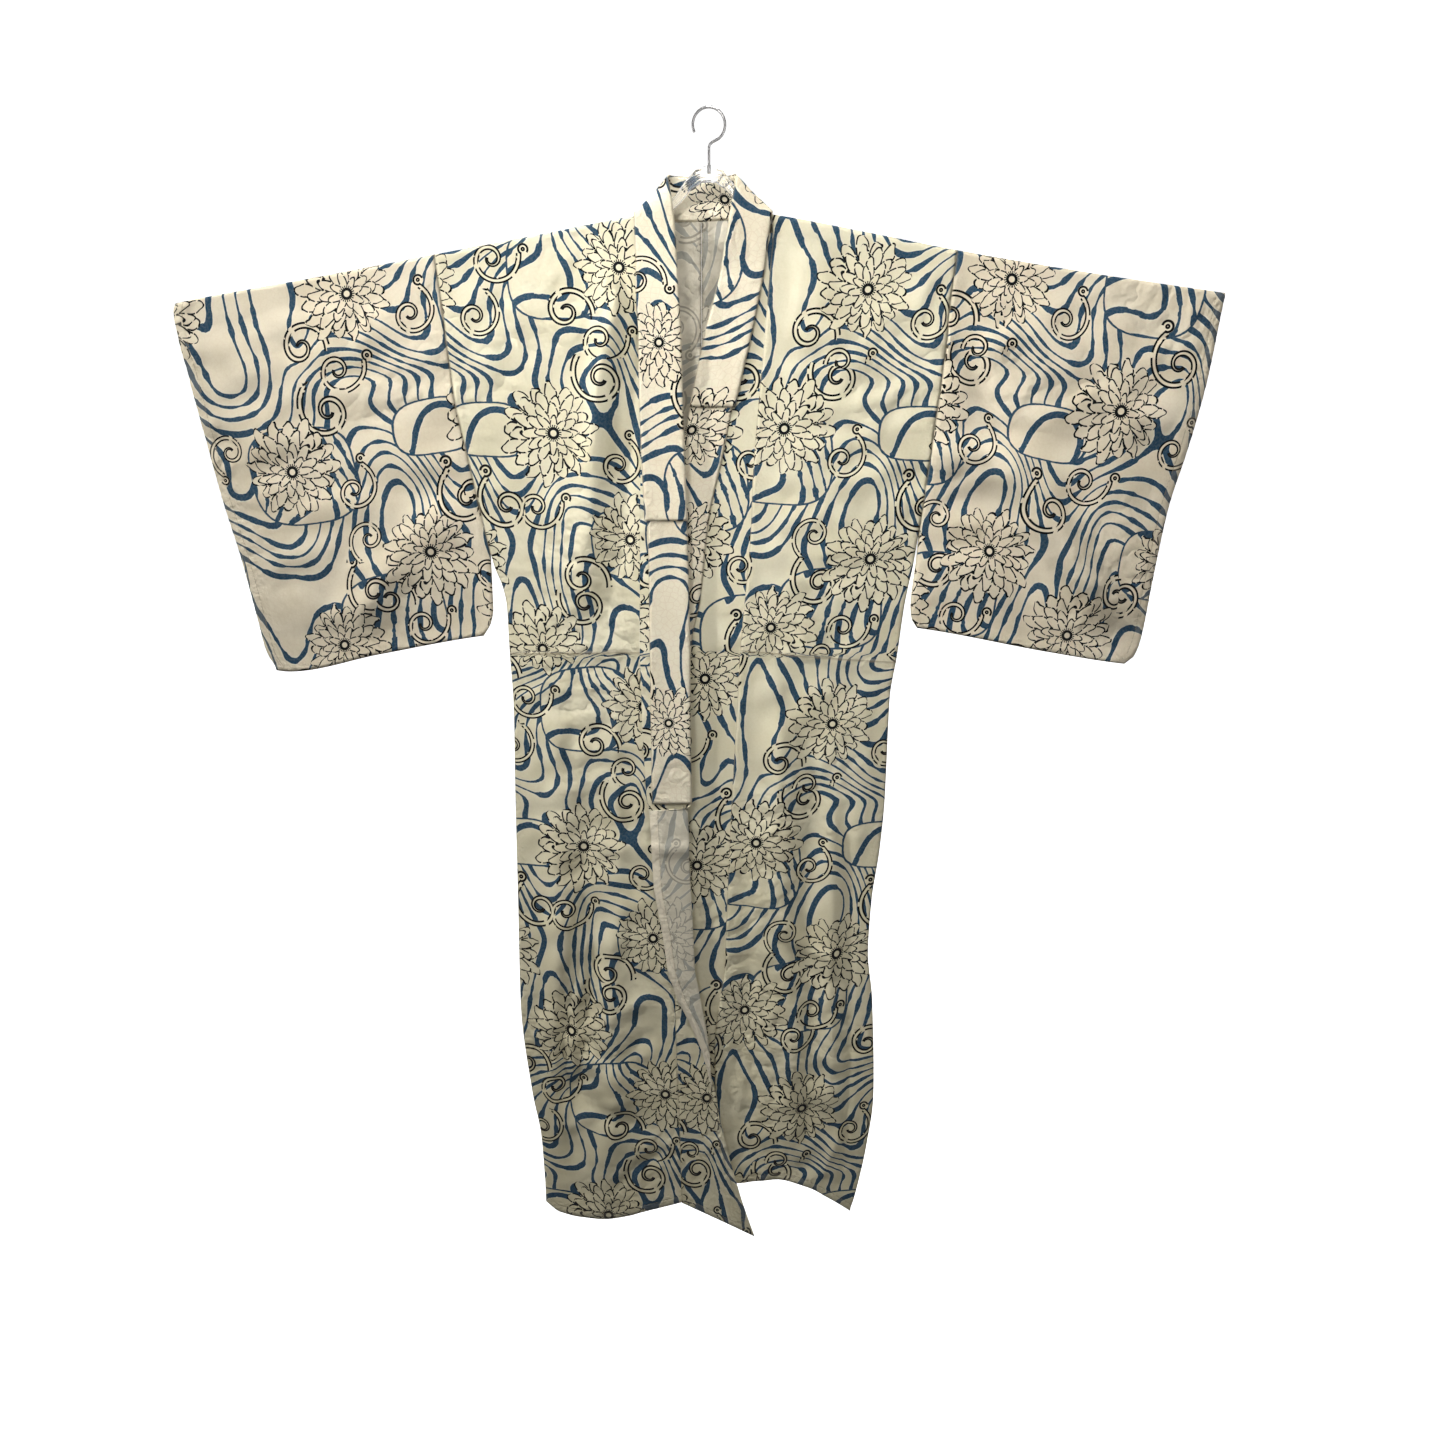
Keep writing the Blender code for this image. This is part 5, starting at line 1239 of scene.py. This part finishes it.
def print_group():
    """The whole print as one node group: its colour, and the height of weave and unevenness."""
    tree = bpy.data.node_groups.new("cotton_print", "ShaderNodeTree")
    colours = ("Ground", "Deep", "Colour")
    for names, way in ((PRINT_INPUTS, "INPUT"), (("Colour", "Height", "Ink"), "OUTPUT")):
        for name in names:
            kind = "NodeSocketColor" if name in colours else "NodeSocketFloat"
            tree.interface.new_socket(name, in_out=way, socket_type=kind)
    m = Maths(tree)
    given = tree.nodes.new("NodeGroupInput").outputs
    cloth = m.layer("cloth")
    mottle = m.ramp(m.noise(cloth, 0.16, 3.0), 0.30, 0.72)
    fleck = m.ramp(m.noise(cloth, 3.2, 3.0), 0.30, 0.75)
    worn_ground = m("MULTIPLY_ADD", mottle, 0.55, m("MULTIPLY", fleck, 0.22))
    ground = m.mix(worn_ground, given["Ground"], given["Deep"])
    u, v, _ = m.split(cloth)
    # Painted shade: the ground grows darker and khaki from the waist down to the hem
    painted_low_shade = m("MULTIPLY", m.ramp(v, 62.0, 150.0), given["Low_shade"])
    ground = m.mix(painted_low_shade, ground, (*KHAKI_SHADE, 1.0))
    cells = m.node("ShaderNodeTexVoronoi", voronoi_dimensions="2D", feature="DISTANCE_TO_EDGE")
    m.put(cells.inputs["Vector"], cloth)
    cells.inputs["Scale"].default_value = 1.25
    vein = m("MULTIPLY", m.ramp(cells.outputs["Distance"], 0.10, 0.02), given["Vein"])
    ground = m.mix(vein, ground, (*VEIN, 1.0))
    ink, halo = grain_ink(m, cloth)
    cover, outline = flower_ink(m)
    band, curl = curl_ink(m)
    covered = m("MAXIMUM", cover, band)
    open_cloth = m("SUBTRACT", 1.0, covered)
    ink = m("MULTIPLY", ink, open_cloth)
    halo = m("MULTIPLY", m("MULTIPLY", halo, open_cloth), 0.60)
    black = m("MAXIMUM", m("MULTIPLY", outline, cover), m("MULTIPLY", curl, m("SUBTRACT", 1.0, cover)))
    strength = given["Strength"]
    worn = m("MULTIPLY_ADD", fleck, -0.05, 1.0)
    colour = m.mix(m("MULTIPLY", halo, strength), ground, (*HALO, 1.0))
    colour = m.mix(m("MULTIPLY", m("MULTIPLY", ink, strength), worn), colour, (*SLATE_BLUE, 1.0))
    colour = m.mix(m("MULTIPLY", black, strength), colour, (*BRUSH_BLACK, 1.0))
    seam, hem, tuck = m.attribute("edges")
    stitch = m.ramp(m("ABSOLUTE", m("SUBTRACT", hem, HEM_WIDTH)), 0.09, 0.04)
    dashes = m.ramp(m.noise(cloth, 2.4), 0.42, 0.50)
    # Painted shade in the seams, which also dips the bump there
    seam_dip_and_shade = m.ramp(seam, 0.22, 0.02)
    # Painted shadow under the waist tuck, and a painted highlight along its top
    painted_tuck_shadow = m("MULTIPLY", m.ramp(tuck, -0.45, -0.02), m("LESS_THAN", tuck, 0.0))
    above_tuck = m("MULTIPLY", m.ramp(tuck, 0.40, 0.05), m("GREATER_THAN", tuck, 0.0))
    shade = m("MAXIMUM", m("MULTIPLY", m("MULTIPLY", stitch, dashes), 0.45), m("MULTIPLY", seam_dip_and_shade, 0.40))
    shade = m("MAXIMUM", shade, m("MULTIPLY", painted_tuck_shadow, 0.60))
    folded_hem = m("MULTIPLY", m.ramp(hem, HEM_WIDTH + 0.05, HEM_WIDTH - 0.15), given["Hem"])
    colour = m.mix(folded_hem, colour, (*CREAM, 1.0))
    colour = m.mix(shade, colour, (*SEAM_SHADE, 1.0))
    # Painted highlight along the top of the waist tuck
    colour = m.mix(m("MULTIPLY", above_tuck, 0.25), colour, (*CREAM, 1.0))
    near = m("MINIMUM", m("MINIMUM", seam, m("ABSOLUTE", m("SUBTRACT", hem, HEM_WIDTH))), m("ABSOLUTE", tuck))
    pucker = m("MULTIPLY", m.noise(cloth, 1.7, 2.0), m.ramp(near, 2.2, 0.1))
    crumple = m("ABSOLUTE", m("SUBTRACT", m.noise(cloth, 0.22, 3.0), 0.5))
    crumple = m("MULTIPLY", crumple, m.ramp(m.noise(cloth, 0.06), 0.35, 0.65))
    relief = m("MULTIPLY_ADD", pucker, 2.2, m("MULTIPLY", crumple, 12.0))
    relief = m("SUBTRACT", relief, m("MULTIPLY", m("MAXIMUM", seam_dip_and_shade, stitch), 0.45))
    warp = m("SINE", m("MULTIPLY", u, TURN / 0.09))
    weft = m("SINE", m("MULTIPLY", v, TURN / 0.09))
    rough = m("MULTIPLY_ADD", m.noise(cloth, 0.9, 4.0), 0.8, relief)
    height = m("MULTIPLY_ADD", m("MULTIPLY", warp, weft), 0.05, rough)
    out = tree.nodes.new("NodeGroupOutput")
    m.put(out.inputs["Colour"], colour)
    m.put(out.inputs["Height"], height)
    m.put(out.inputs["Ink"], m("MAXIMUM", ink, black))
    return tree


def new_material(name, **plain_inputs):
    """A material with its shader's plain inputs set, its shader, and the maths of its tree."""
    material = bpy.data.materials.new(name)
    material.use_nodes = True
    shader = material.node_tree.nodes["Principled BSDF"]
    for key, value in plain_inputs.items():
        shader.inputs[key.replace("_", " ")].default_value = value
    return material, shader, Maths(material.node_tree)


def cotton_material(name, group):
    """Plain-woven cotton with the print on it."""
    material, shader, m = new_material(name, Specular_IOR_Level=0.08, Sheen_Weight=0.02, Sheen_Roughness=0.45)
    ground, deep, *shares, roughness = COTTONS[name]
    cloth_print = m.node("ShaderNodeGroup", node_tree=group)
    for key, value in zip(PRINT_INPUTS, ((*ground, 1.0), (*deep, 1.0), *shares)):
        cloth_print.inputs[key].default_value = value
    m.put(shader.inputs["Base Color"], cloth_print.outputs["Colour"])
    bump = m.node("ShaderNodeBump")
    bump.inputs["Strength"].default_value = 0.75
    bump.inputs["Distance"].default_value = 0.0012
    m.put(bump.inputs["Height"], cloth_print.outputs["Height"])
    m.put(shader.inputs["Normal"], bump.outputs["Normal"])
    m.put(shader.inputs["Roughness"], m("MULTIPLY_ADD", cloth_print.outputs["Ink"], -0.06, roughness))
    material.diffuse_color = (*ground, 1.0)
    return material


def plastic_material():
    """Clear moulded plastic with faint clouding."""
    material, shader, m = new_material("clear_plastic", Transmission_Weight=0.96, IOR=1.46)
    cloud = m.clouds(60.0, 3.0)
    m.put(shader.inputs["Roughness"], m("MULTIPLY_ADD", cloud, 0.14, 0.02))
    m.put(shader.inputs["Base Color"], m.mix(cloud, (0.93, 0.93, 0.92, 1), (0.98, 0.98, 0.98, 1)))
    return material


def wire_material():
    """Plated steel wire, brushed along its length."""
    material, shader, m = new_material("plated_wire", Metallic=1.0)
    wear = m.clouds(240.0, 4.0)
    m.put(shader.inputs["Roughness"], m("MULTIPLY_ADD", wear, 0.30, 0.18))
    m.put(shader.inputs["Base Color"], m.mix(wear, (0.20, 0.20, 0.21, 1), (0.34, 0.33, 0.32, 1)))
    return material


# Pieces

FINE = 0.52
BODY_LONGEST = 139.0
# Girth that the roll over the shoulder adds to the fall
ROLL_EXTRA = 0.37


def fine_girths():
    """Girths from the back hem to the front hem, closer together over the shoulder and at the back neck."""
    roll = [0.18, 0.36, 0.54, 0.72, 0.90, 1.08, 1.24]
    neck = [1.32, 1.40, 1.45, 1.50, 1.548, 1.553]
    front = roll + list(np.linspace(1.4, BODY_LONGEST, int((BODY_LONGEST - 1.4) / FINE)))
    back = roll + neck + list(np.linspace(1.9, BODY_LONGEST, int((BODY_LONGEST - 1.9) / FINE)))
    return [-g for g in back[::-1]] + [0.0] + front


# Where each piece lies on the printed cloth: shift across, lean, height the lean is taken from, shift down
PRINT_PLACE = {
    "body_left": (57.0, -0.040, 15.8, 0.5), "body_right": (0.0, 0.058, 21.4, 0.0),
    "sleeve_left": (65.1, -0.125, 21.6, 18.2), "sleeve_right": (-17.9, 0.125, 19.9, 18.5),
    "okumi_left": (50.0, -0.040, 15.8, 1.2), "okumi_right": (12.4, 0.03, 60.0, -3.1),
}
TUCK_TAKES = 2.0
TUCK_HEIGHT = -66.8


def front_uv(name, grid, along=None):
    across, lean, lean_from, down = PRINT_PLACE[name]
    u = grid[:, :, 0] + across + lean * (-grid[:, :, 2] - lean_from)
    v = -grid[:, :, 2] if along is None else along
    v = v + down + TUCK_TAKES * ease((TUCK_HEIGHT - grid[:, :, 2]) / 0.3 + 0.5)
    return np.stack([u, v], axis=2)


def body_piece(key, materials):
    name = "body_" + key
    girths = fine_girths()
    grid = body_grid(SIDES[key], 54, girths)
    x = grid[:, :, 0]
    girth = np.array(girths)[:, None]
    fall = top_line(x) - grid[:, :, 2]
    away = np.abs(girth)
    along = np.sign(girth) * np.where(away < HALF_TURN * SHOULDER_ROLL, away, fall + ROLL_EXTRA)
    uv = front_uv(name, grid, along - top_line(x))
    front = grid_normals(grid)[len(girths) // 2 + 20 :]
    tuck = smooth_curve(SIDES[key]["tuck"])
    edges = edge_ways(grid, ("first", "last"), ("top", "foot"), grid[:, :, 2] - tuck(x))
    return cloth_shell(name, grid, uv, front_sign(front), edges, tile_flowers(name), materials)


def sleeve_piece(key, materials):
    name = "sleeve_" + key
    sign = -1 if key == "left" else 1
    arm, cuff, foot = {
        "left": (arm_left, CUFF_LEFT, SLEEVE_FOOT_LEFT), "right": (arm_right, CUFF_RIGHT, SLEEVE_FOOT_RIGHT),
    }[key]
    front = [0.004, 0.008, 0.012, 0.016, 0.020, 0.025] + list(np.linspace(0.035, 1.0, 92))
    shares = [-s for s in front[::-1]] + [0.0] + front
    grid = sleeve_grid(sign, arm, cuff, foot, 66, shares)
    across, lean, lean_from, down = PRINT_PLACE[name]
    x, z = grid[:, :, 0], grid[:, :, 2]
    u = x + across + lean * (-z - lean_from)
    share = np.array(shares)[:, None]
    v = share * SLEEVE_GIRTH + down
    uv = np.stack([u, np.broadcast_to(v, u.shape)], axis=2)
    normals = grid_normals(grid)[len(shares) // 2 + 12 :]
    edges = edge_ways(grid, ("first", "top", "foot"), ("last",))
    return cloth_shell(name, grid, uv, front_sign(normals), edges, tile_flowers(name), materials)


def okumi_left_piece(materials):
    heights = list(np.linspace(OKUMI_LEFT_TOP, -86.9, 116)) + list(np.linspace(-87.2, -88.2, 7))
    heights += list(np.linspace(-88.6, OKUMI_LEFT_FOOT, 116))
    grid = okumi_left_grid(heights)
    across = unrolled(grid)
    base = np.argmin(np.abs(grid[:, :, 0] - grid[:, 7:8, 0]), axis=1)
    start = grid[np.arange(len(grid)), base, 0] - across[np.arange(len(grid)), base]
    flat = grid.copy()
    flat[:, :, 0] = across + start[:, None]
    uv = front_uv("okumi_left", flat)
    outward = front_sign(grid_normals(grid)[:, 8:11])
    edges = edge_ways(grid, ("first",), ("last", "foot"))
    return cloth_shell("okumi_left", grid, uv, outward, edges, tile_flowers("okumi_left"), materials)


def okumi_right_piece(materials):
    grid = okumi_right_grid(24, list(np.linspace(-14.2, -146.5, 250)))
    uv = front_uv("okumi_right", grid)
    outward = front_sign(grid_normals(grid))
    edges = edge_ways(grid, ("first",), ("last", "foot"))
    flowers = [(*place, 1) for place in STRIP_FLOWERS]
    return cloth_shell("okumi_right", grid, uv, outward, edges, flowers, materials, STRIP_CURLS, tiled=False)


COLLAR_COLUMNS = 15
COLLAR_WIDE = 5.4
BACK_FLOWER_SHIFT = 3.2
COLLAR_CURLS = [(0, 3), (1, 2), (0, 2), (2, 3), (0, 1)]
# The overlay's print starts this far in from the collar's seam edge
OVERLAY_SHIFT = 0.4
# Flowers on the collar: share of the width from the seam, height, side (left, back or right), turn, size
COLLAR_FLOWERS = [
    (0.45, -75.9, "left", 30, 0.82), (0.55, -27.5, "left", 80, 0.86), (0.45, 0.0, "back", 10, 0.80),
    (0.86, -37.8, "right", 150, 0.90), (0.50, -51.6, "right", 250, 0.86),
]


def collar_half(wall, rows, columns):
    """Half thickness of a doubled band: full in the middle and rounded at both edges."""
    share = np.linspace(-1, 1, columns)[None, :]
    profile = 0.25 + 0.75 * np.sqrt(1 - 0.96 * share**4)
    return np.broadcast_to(wall / 2 * profile, (len(rows), columns))


def collar_flowers(rows):
    heights = rows[:, :, 2].mean(axis=1)
    along = along_rows(rows)
    turn = int(np.argmax(heights))
    places = []
    for share, height, side, degrees, size in COLLAR_FLOWERS:
        if side == "left":
            s = float(np.interp(height, heights[:turn], along[:turn]))
        elif side == "right":
            s = float(np.interp(-height, -heights[turn:], along[turn:]))
        else:
            s = float(along[turn] - BACK_FLOWER_SHIFT)
        places.append((share * COLLAR_WIDE, s, degrees, size, 1))
    return places


def collar_uv(grid, rows):
    across = unrolled(grid)
    return np.stack([across, np.broadcast_to(along_rows(rows)[:, None], across.shape)], axis=2)


def band_shell(name, grid, uv, rows, wall, first_rows, flowers, materials):
    """One doubled band, whose first rows face the viewer."""
    outward = front_sign(grid_normals(grid)[:first_rows])
    half = collar_half(wall, rows, COLLAR_COLUMNS)
    edges = edge_ways(grid, ("first", "last", "top", "foot"))
    return cloth_shell(name, grid, uv, outward, edges, flowers, materials, COLLAR_CURLS, half, tiled=False)


def collar_pieces(materials):
    rows = settle_on_fronts(spline_rows(collar_rows(), COLLAR_SPACING))
    flowers = collar_flowers(rows)
    grid = ribbon_grid(rows, COLLAR_COLUMNS)
    collar = band_shell("collar", grid, collar_uv(grid, rows), rows, COLLAR_WALL, 60, flowers, materials)
    upper = cut_rows(rows, OVERLAY_END_LEFT, OVERLAY_END_RIGHT)
    grid = overlay_grid(upper, COLLAR_COLUMNS)
    first = int(np.argmin(np.abs(rows[:, 0, 2] - upper[1, 0, 2])))
    uv = collar_uv(grid, upper) + np.array([OVERLAY_SHIFT, along_rows(rows)[first - 1]])
    return collar, band_shell("collar_overlay", grid, uv, upper, OVERLAY_WALL, 40, flowers, materials)


# Room: floor, light and camera

FLOOR_Z = -1.66
FLOOR_REACH = 30.0
WALL_RADIUS = 26.0
WALL_TOP = 24.0
WALL_PANELS = 32
CAMERA_PLACE = (0.01657, -1.39, -0.47207)
CAMERA_TILT = 78.2
CAMERA_LENS = 25.91


# Soft lamps: name, place, aim, size in metres, power, colour, spread in degrees
WARM = (1.0, 0.985, 0.96)
LAMPS = [
    ("top_light", (0.10, -0.62, 0.95), (0.05, 0.0, -0.50), 0.12, 10.3, WARM, 180),
    ("key_light", (-0.50, -1.15, -0.05), (0.0, 0.0, -0.48), 0.40, 1.40, WARM, 80),
    ("fill_light", (0.80, -1.05, 0.10), (0.1, 0.0, -0.55), 0.50, 2.6, WARM, 180),
    ("side_light", (-2.4, -1.0, 1.2), (0.15, 0.0, -0.30), 0.20, 8.4, (1.0, 0.99, 0.97), 60),
]


def room_material(name, glow):
    """Pale paint of the floor and the wall, which glows a little."""
    white = (1.0, 1.0, 1.0, 1.0)
    material, shader, m = new_material(name, Roughness=0.9, Emission_Color=white, Emission_Strength=glow)
    m.put(shader.inputs["Base Color"], m.mix(m.clouds(2.0), (0.90, 0.90, 0.90, 1), (0.92, 0.92, 0.92, 1)))
    return material


def build_floor():
    """A plain pale floor, which adds no light of its own to the cloth."""
    mesh = bpy.data.meshes.new("floor")
    corners = [(x * FLOOR_REACH, y * FLOOR_REACH, FLOOR_Z) for x, y in ((-1, -1), (1, -1), (1, 1), (-1, 1))]
    mesh.from_pydata(corners, [], [(0, 1, 2, 3)])
    mesh.materials.append(room_material("pale_floor", 0.75))
    floor = add_object("floor", mesh)
    floor.visible_diffuse = False


def build_backdrop():
    """A pale wall all round the room, seen only by the camera, so that it adds no light of its own."""
    angles = [TURN * i / WALL_PANELS for i in range(WALL_PANELS)]
    ring = [(WALL_RADIUS * math.cos(angle), WALL_RADIUS * math.sin(angle)) for angle in angles]
    vertices = [(x, y, FLOOR_Z) for x, y in ring] + [(x, y, WALL_TOP) for x, y in ring]
    panels = []
    for i in range(WALL_PANELS):
        following = (i + 1) % WALL_PANELS
        panels.append((following, i, i + WALL_PANELS, following + WALL_PANELS))
    mesh = bpy.data.meshes.new("backdrop")
    mesh.from_pydata(vertices, [], panels)
    mesh.materials.append(room_material("pale_wall", 1.0))
    backdrop = add_object("backdrop", mesh)
    backdrop.visible_diffuse = False
    backdrop.visible_glossy = False
    backdrop.visible_shadow = False


def add_area_light(name, place, aim, size, power, colour, spread):
    data = bpy.data.lights.new(name, "AREA")
    data.shape = "DISK"
    data.size = size
    data.energy = power
    data.color = colour
    data.spread = math.radians(spread)
    light = add_object(name, data)
    light.location = place
    light.rotation_euler = (Vector(aim) - Vector(place)).to_track_quat("-Z", "Y").to_euler()


def build_light():
    world = bpy.data.worlds.new("pale_room")
    world.use_nodes = True
    background = world.node_tree.nodes["Background"]
    background.inputs["Color"].default_value = (1.0, 1.0, 1.0, 1.0)
    m = Maths(world.node_tree)
    _, depth, height = m.split(m.node("ShaderNodeTexCoord").outputs["Generated"])
    room = m("MULTIPLY_ADD", m.ramp(height, -0.2, 0.8), 0.24, 0.07)
    m.put(background.inputs["Strength"], m.blend(m.ramp(depth, -0.15, 0.20), room, 1.0))
    bpy.context.scene.world = world
    for lamp in LAMPS:
        add_area_light(*lamp)
    bpy.context.scene.view_settings.view_transform = "Standard"


def build_camera():
    data = bpy.data.cameras.new("camera")
    data.lens = CAMERA_LENS
    data.sensor_width = 36.0
    camera = add_object("camera", data)
    camera.location = CAMERA_PLACE
    camera.rotation_euler = (math.radians(CAMERA_TILT), 0.0, 0.0)
    bpy.context.scene.camera = camera


def declare(pieces):
    """Hangs each cloth from the root body and hides the part of the frame that it stands for."""
    for name, piece in pieces.items():
        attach(piece, "root")
        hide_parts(name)


def dress():
    group = print_group()
    right_side = cotton_material("cotton_right_side", group)
    sleeve_side = cotton_material("sleeve_right_side", group)
    wrong_side = cotton_material("cotton_wrong_side", group)
    collar_side = cotton_material("collar_right_side", group)
    cloth = [right_side, wrong_side]
    sleeve_cloth = [sleeve_side, wrong_side]
    pieces = {
        "body_left": body_piece("left", cloth), "body_right": body_piece("right", cloth),
        "sleeve_left": sleeve_piece("left", sleeve_cloth),
        "sleeve_right": sleeve_piece("right", sleeve_cloth),
        "okumi_left": okumi_left_piece(cloth), "okumi_right": okumi_right_piece(cloth),
    }
    pieces["collar"], pieces["collar_overlay"] = collar_pieces([collar_side, collar_side])
    declare(pieces)
    for node, material in (("hanger", plastic_material()), ("hook", wire_material())):
        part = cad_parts[node]
        part.data.materials.clear()
        part.data.materials.append(material)


build_camera()
build_light()
build_floor()
build_backdrop()
dress()
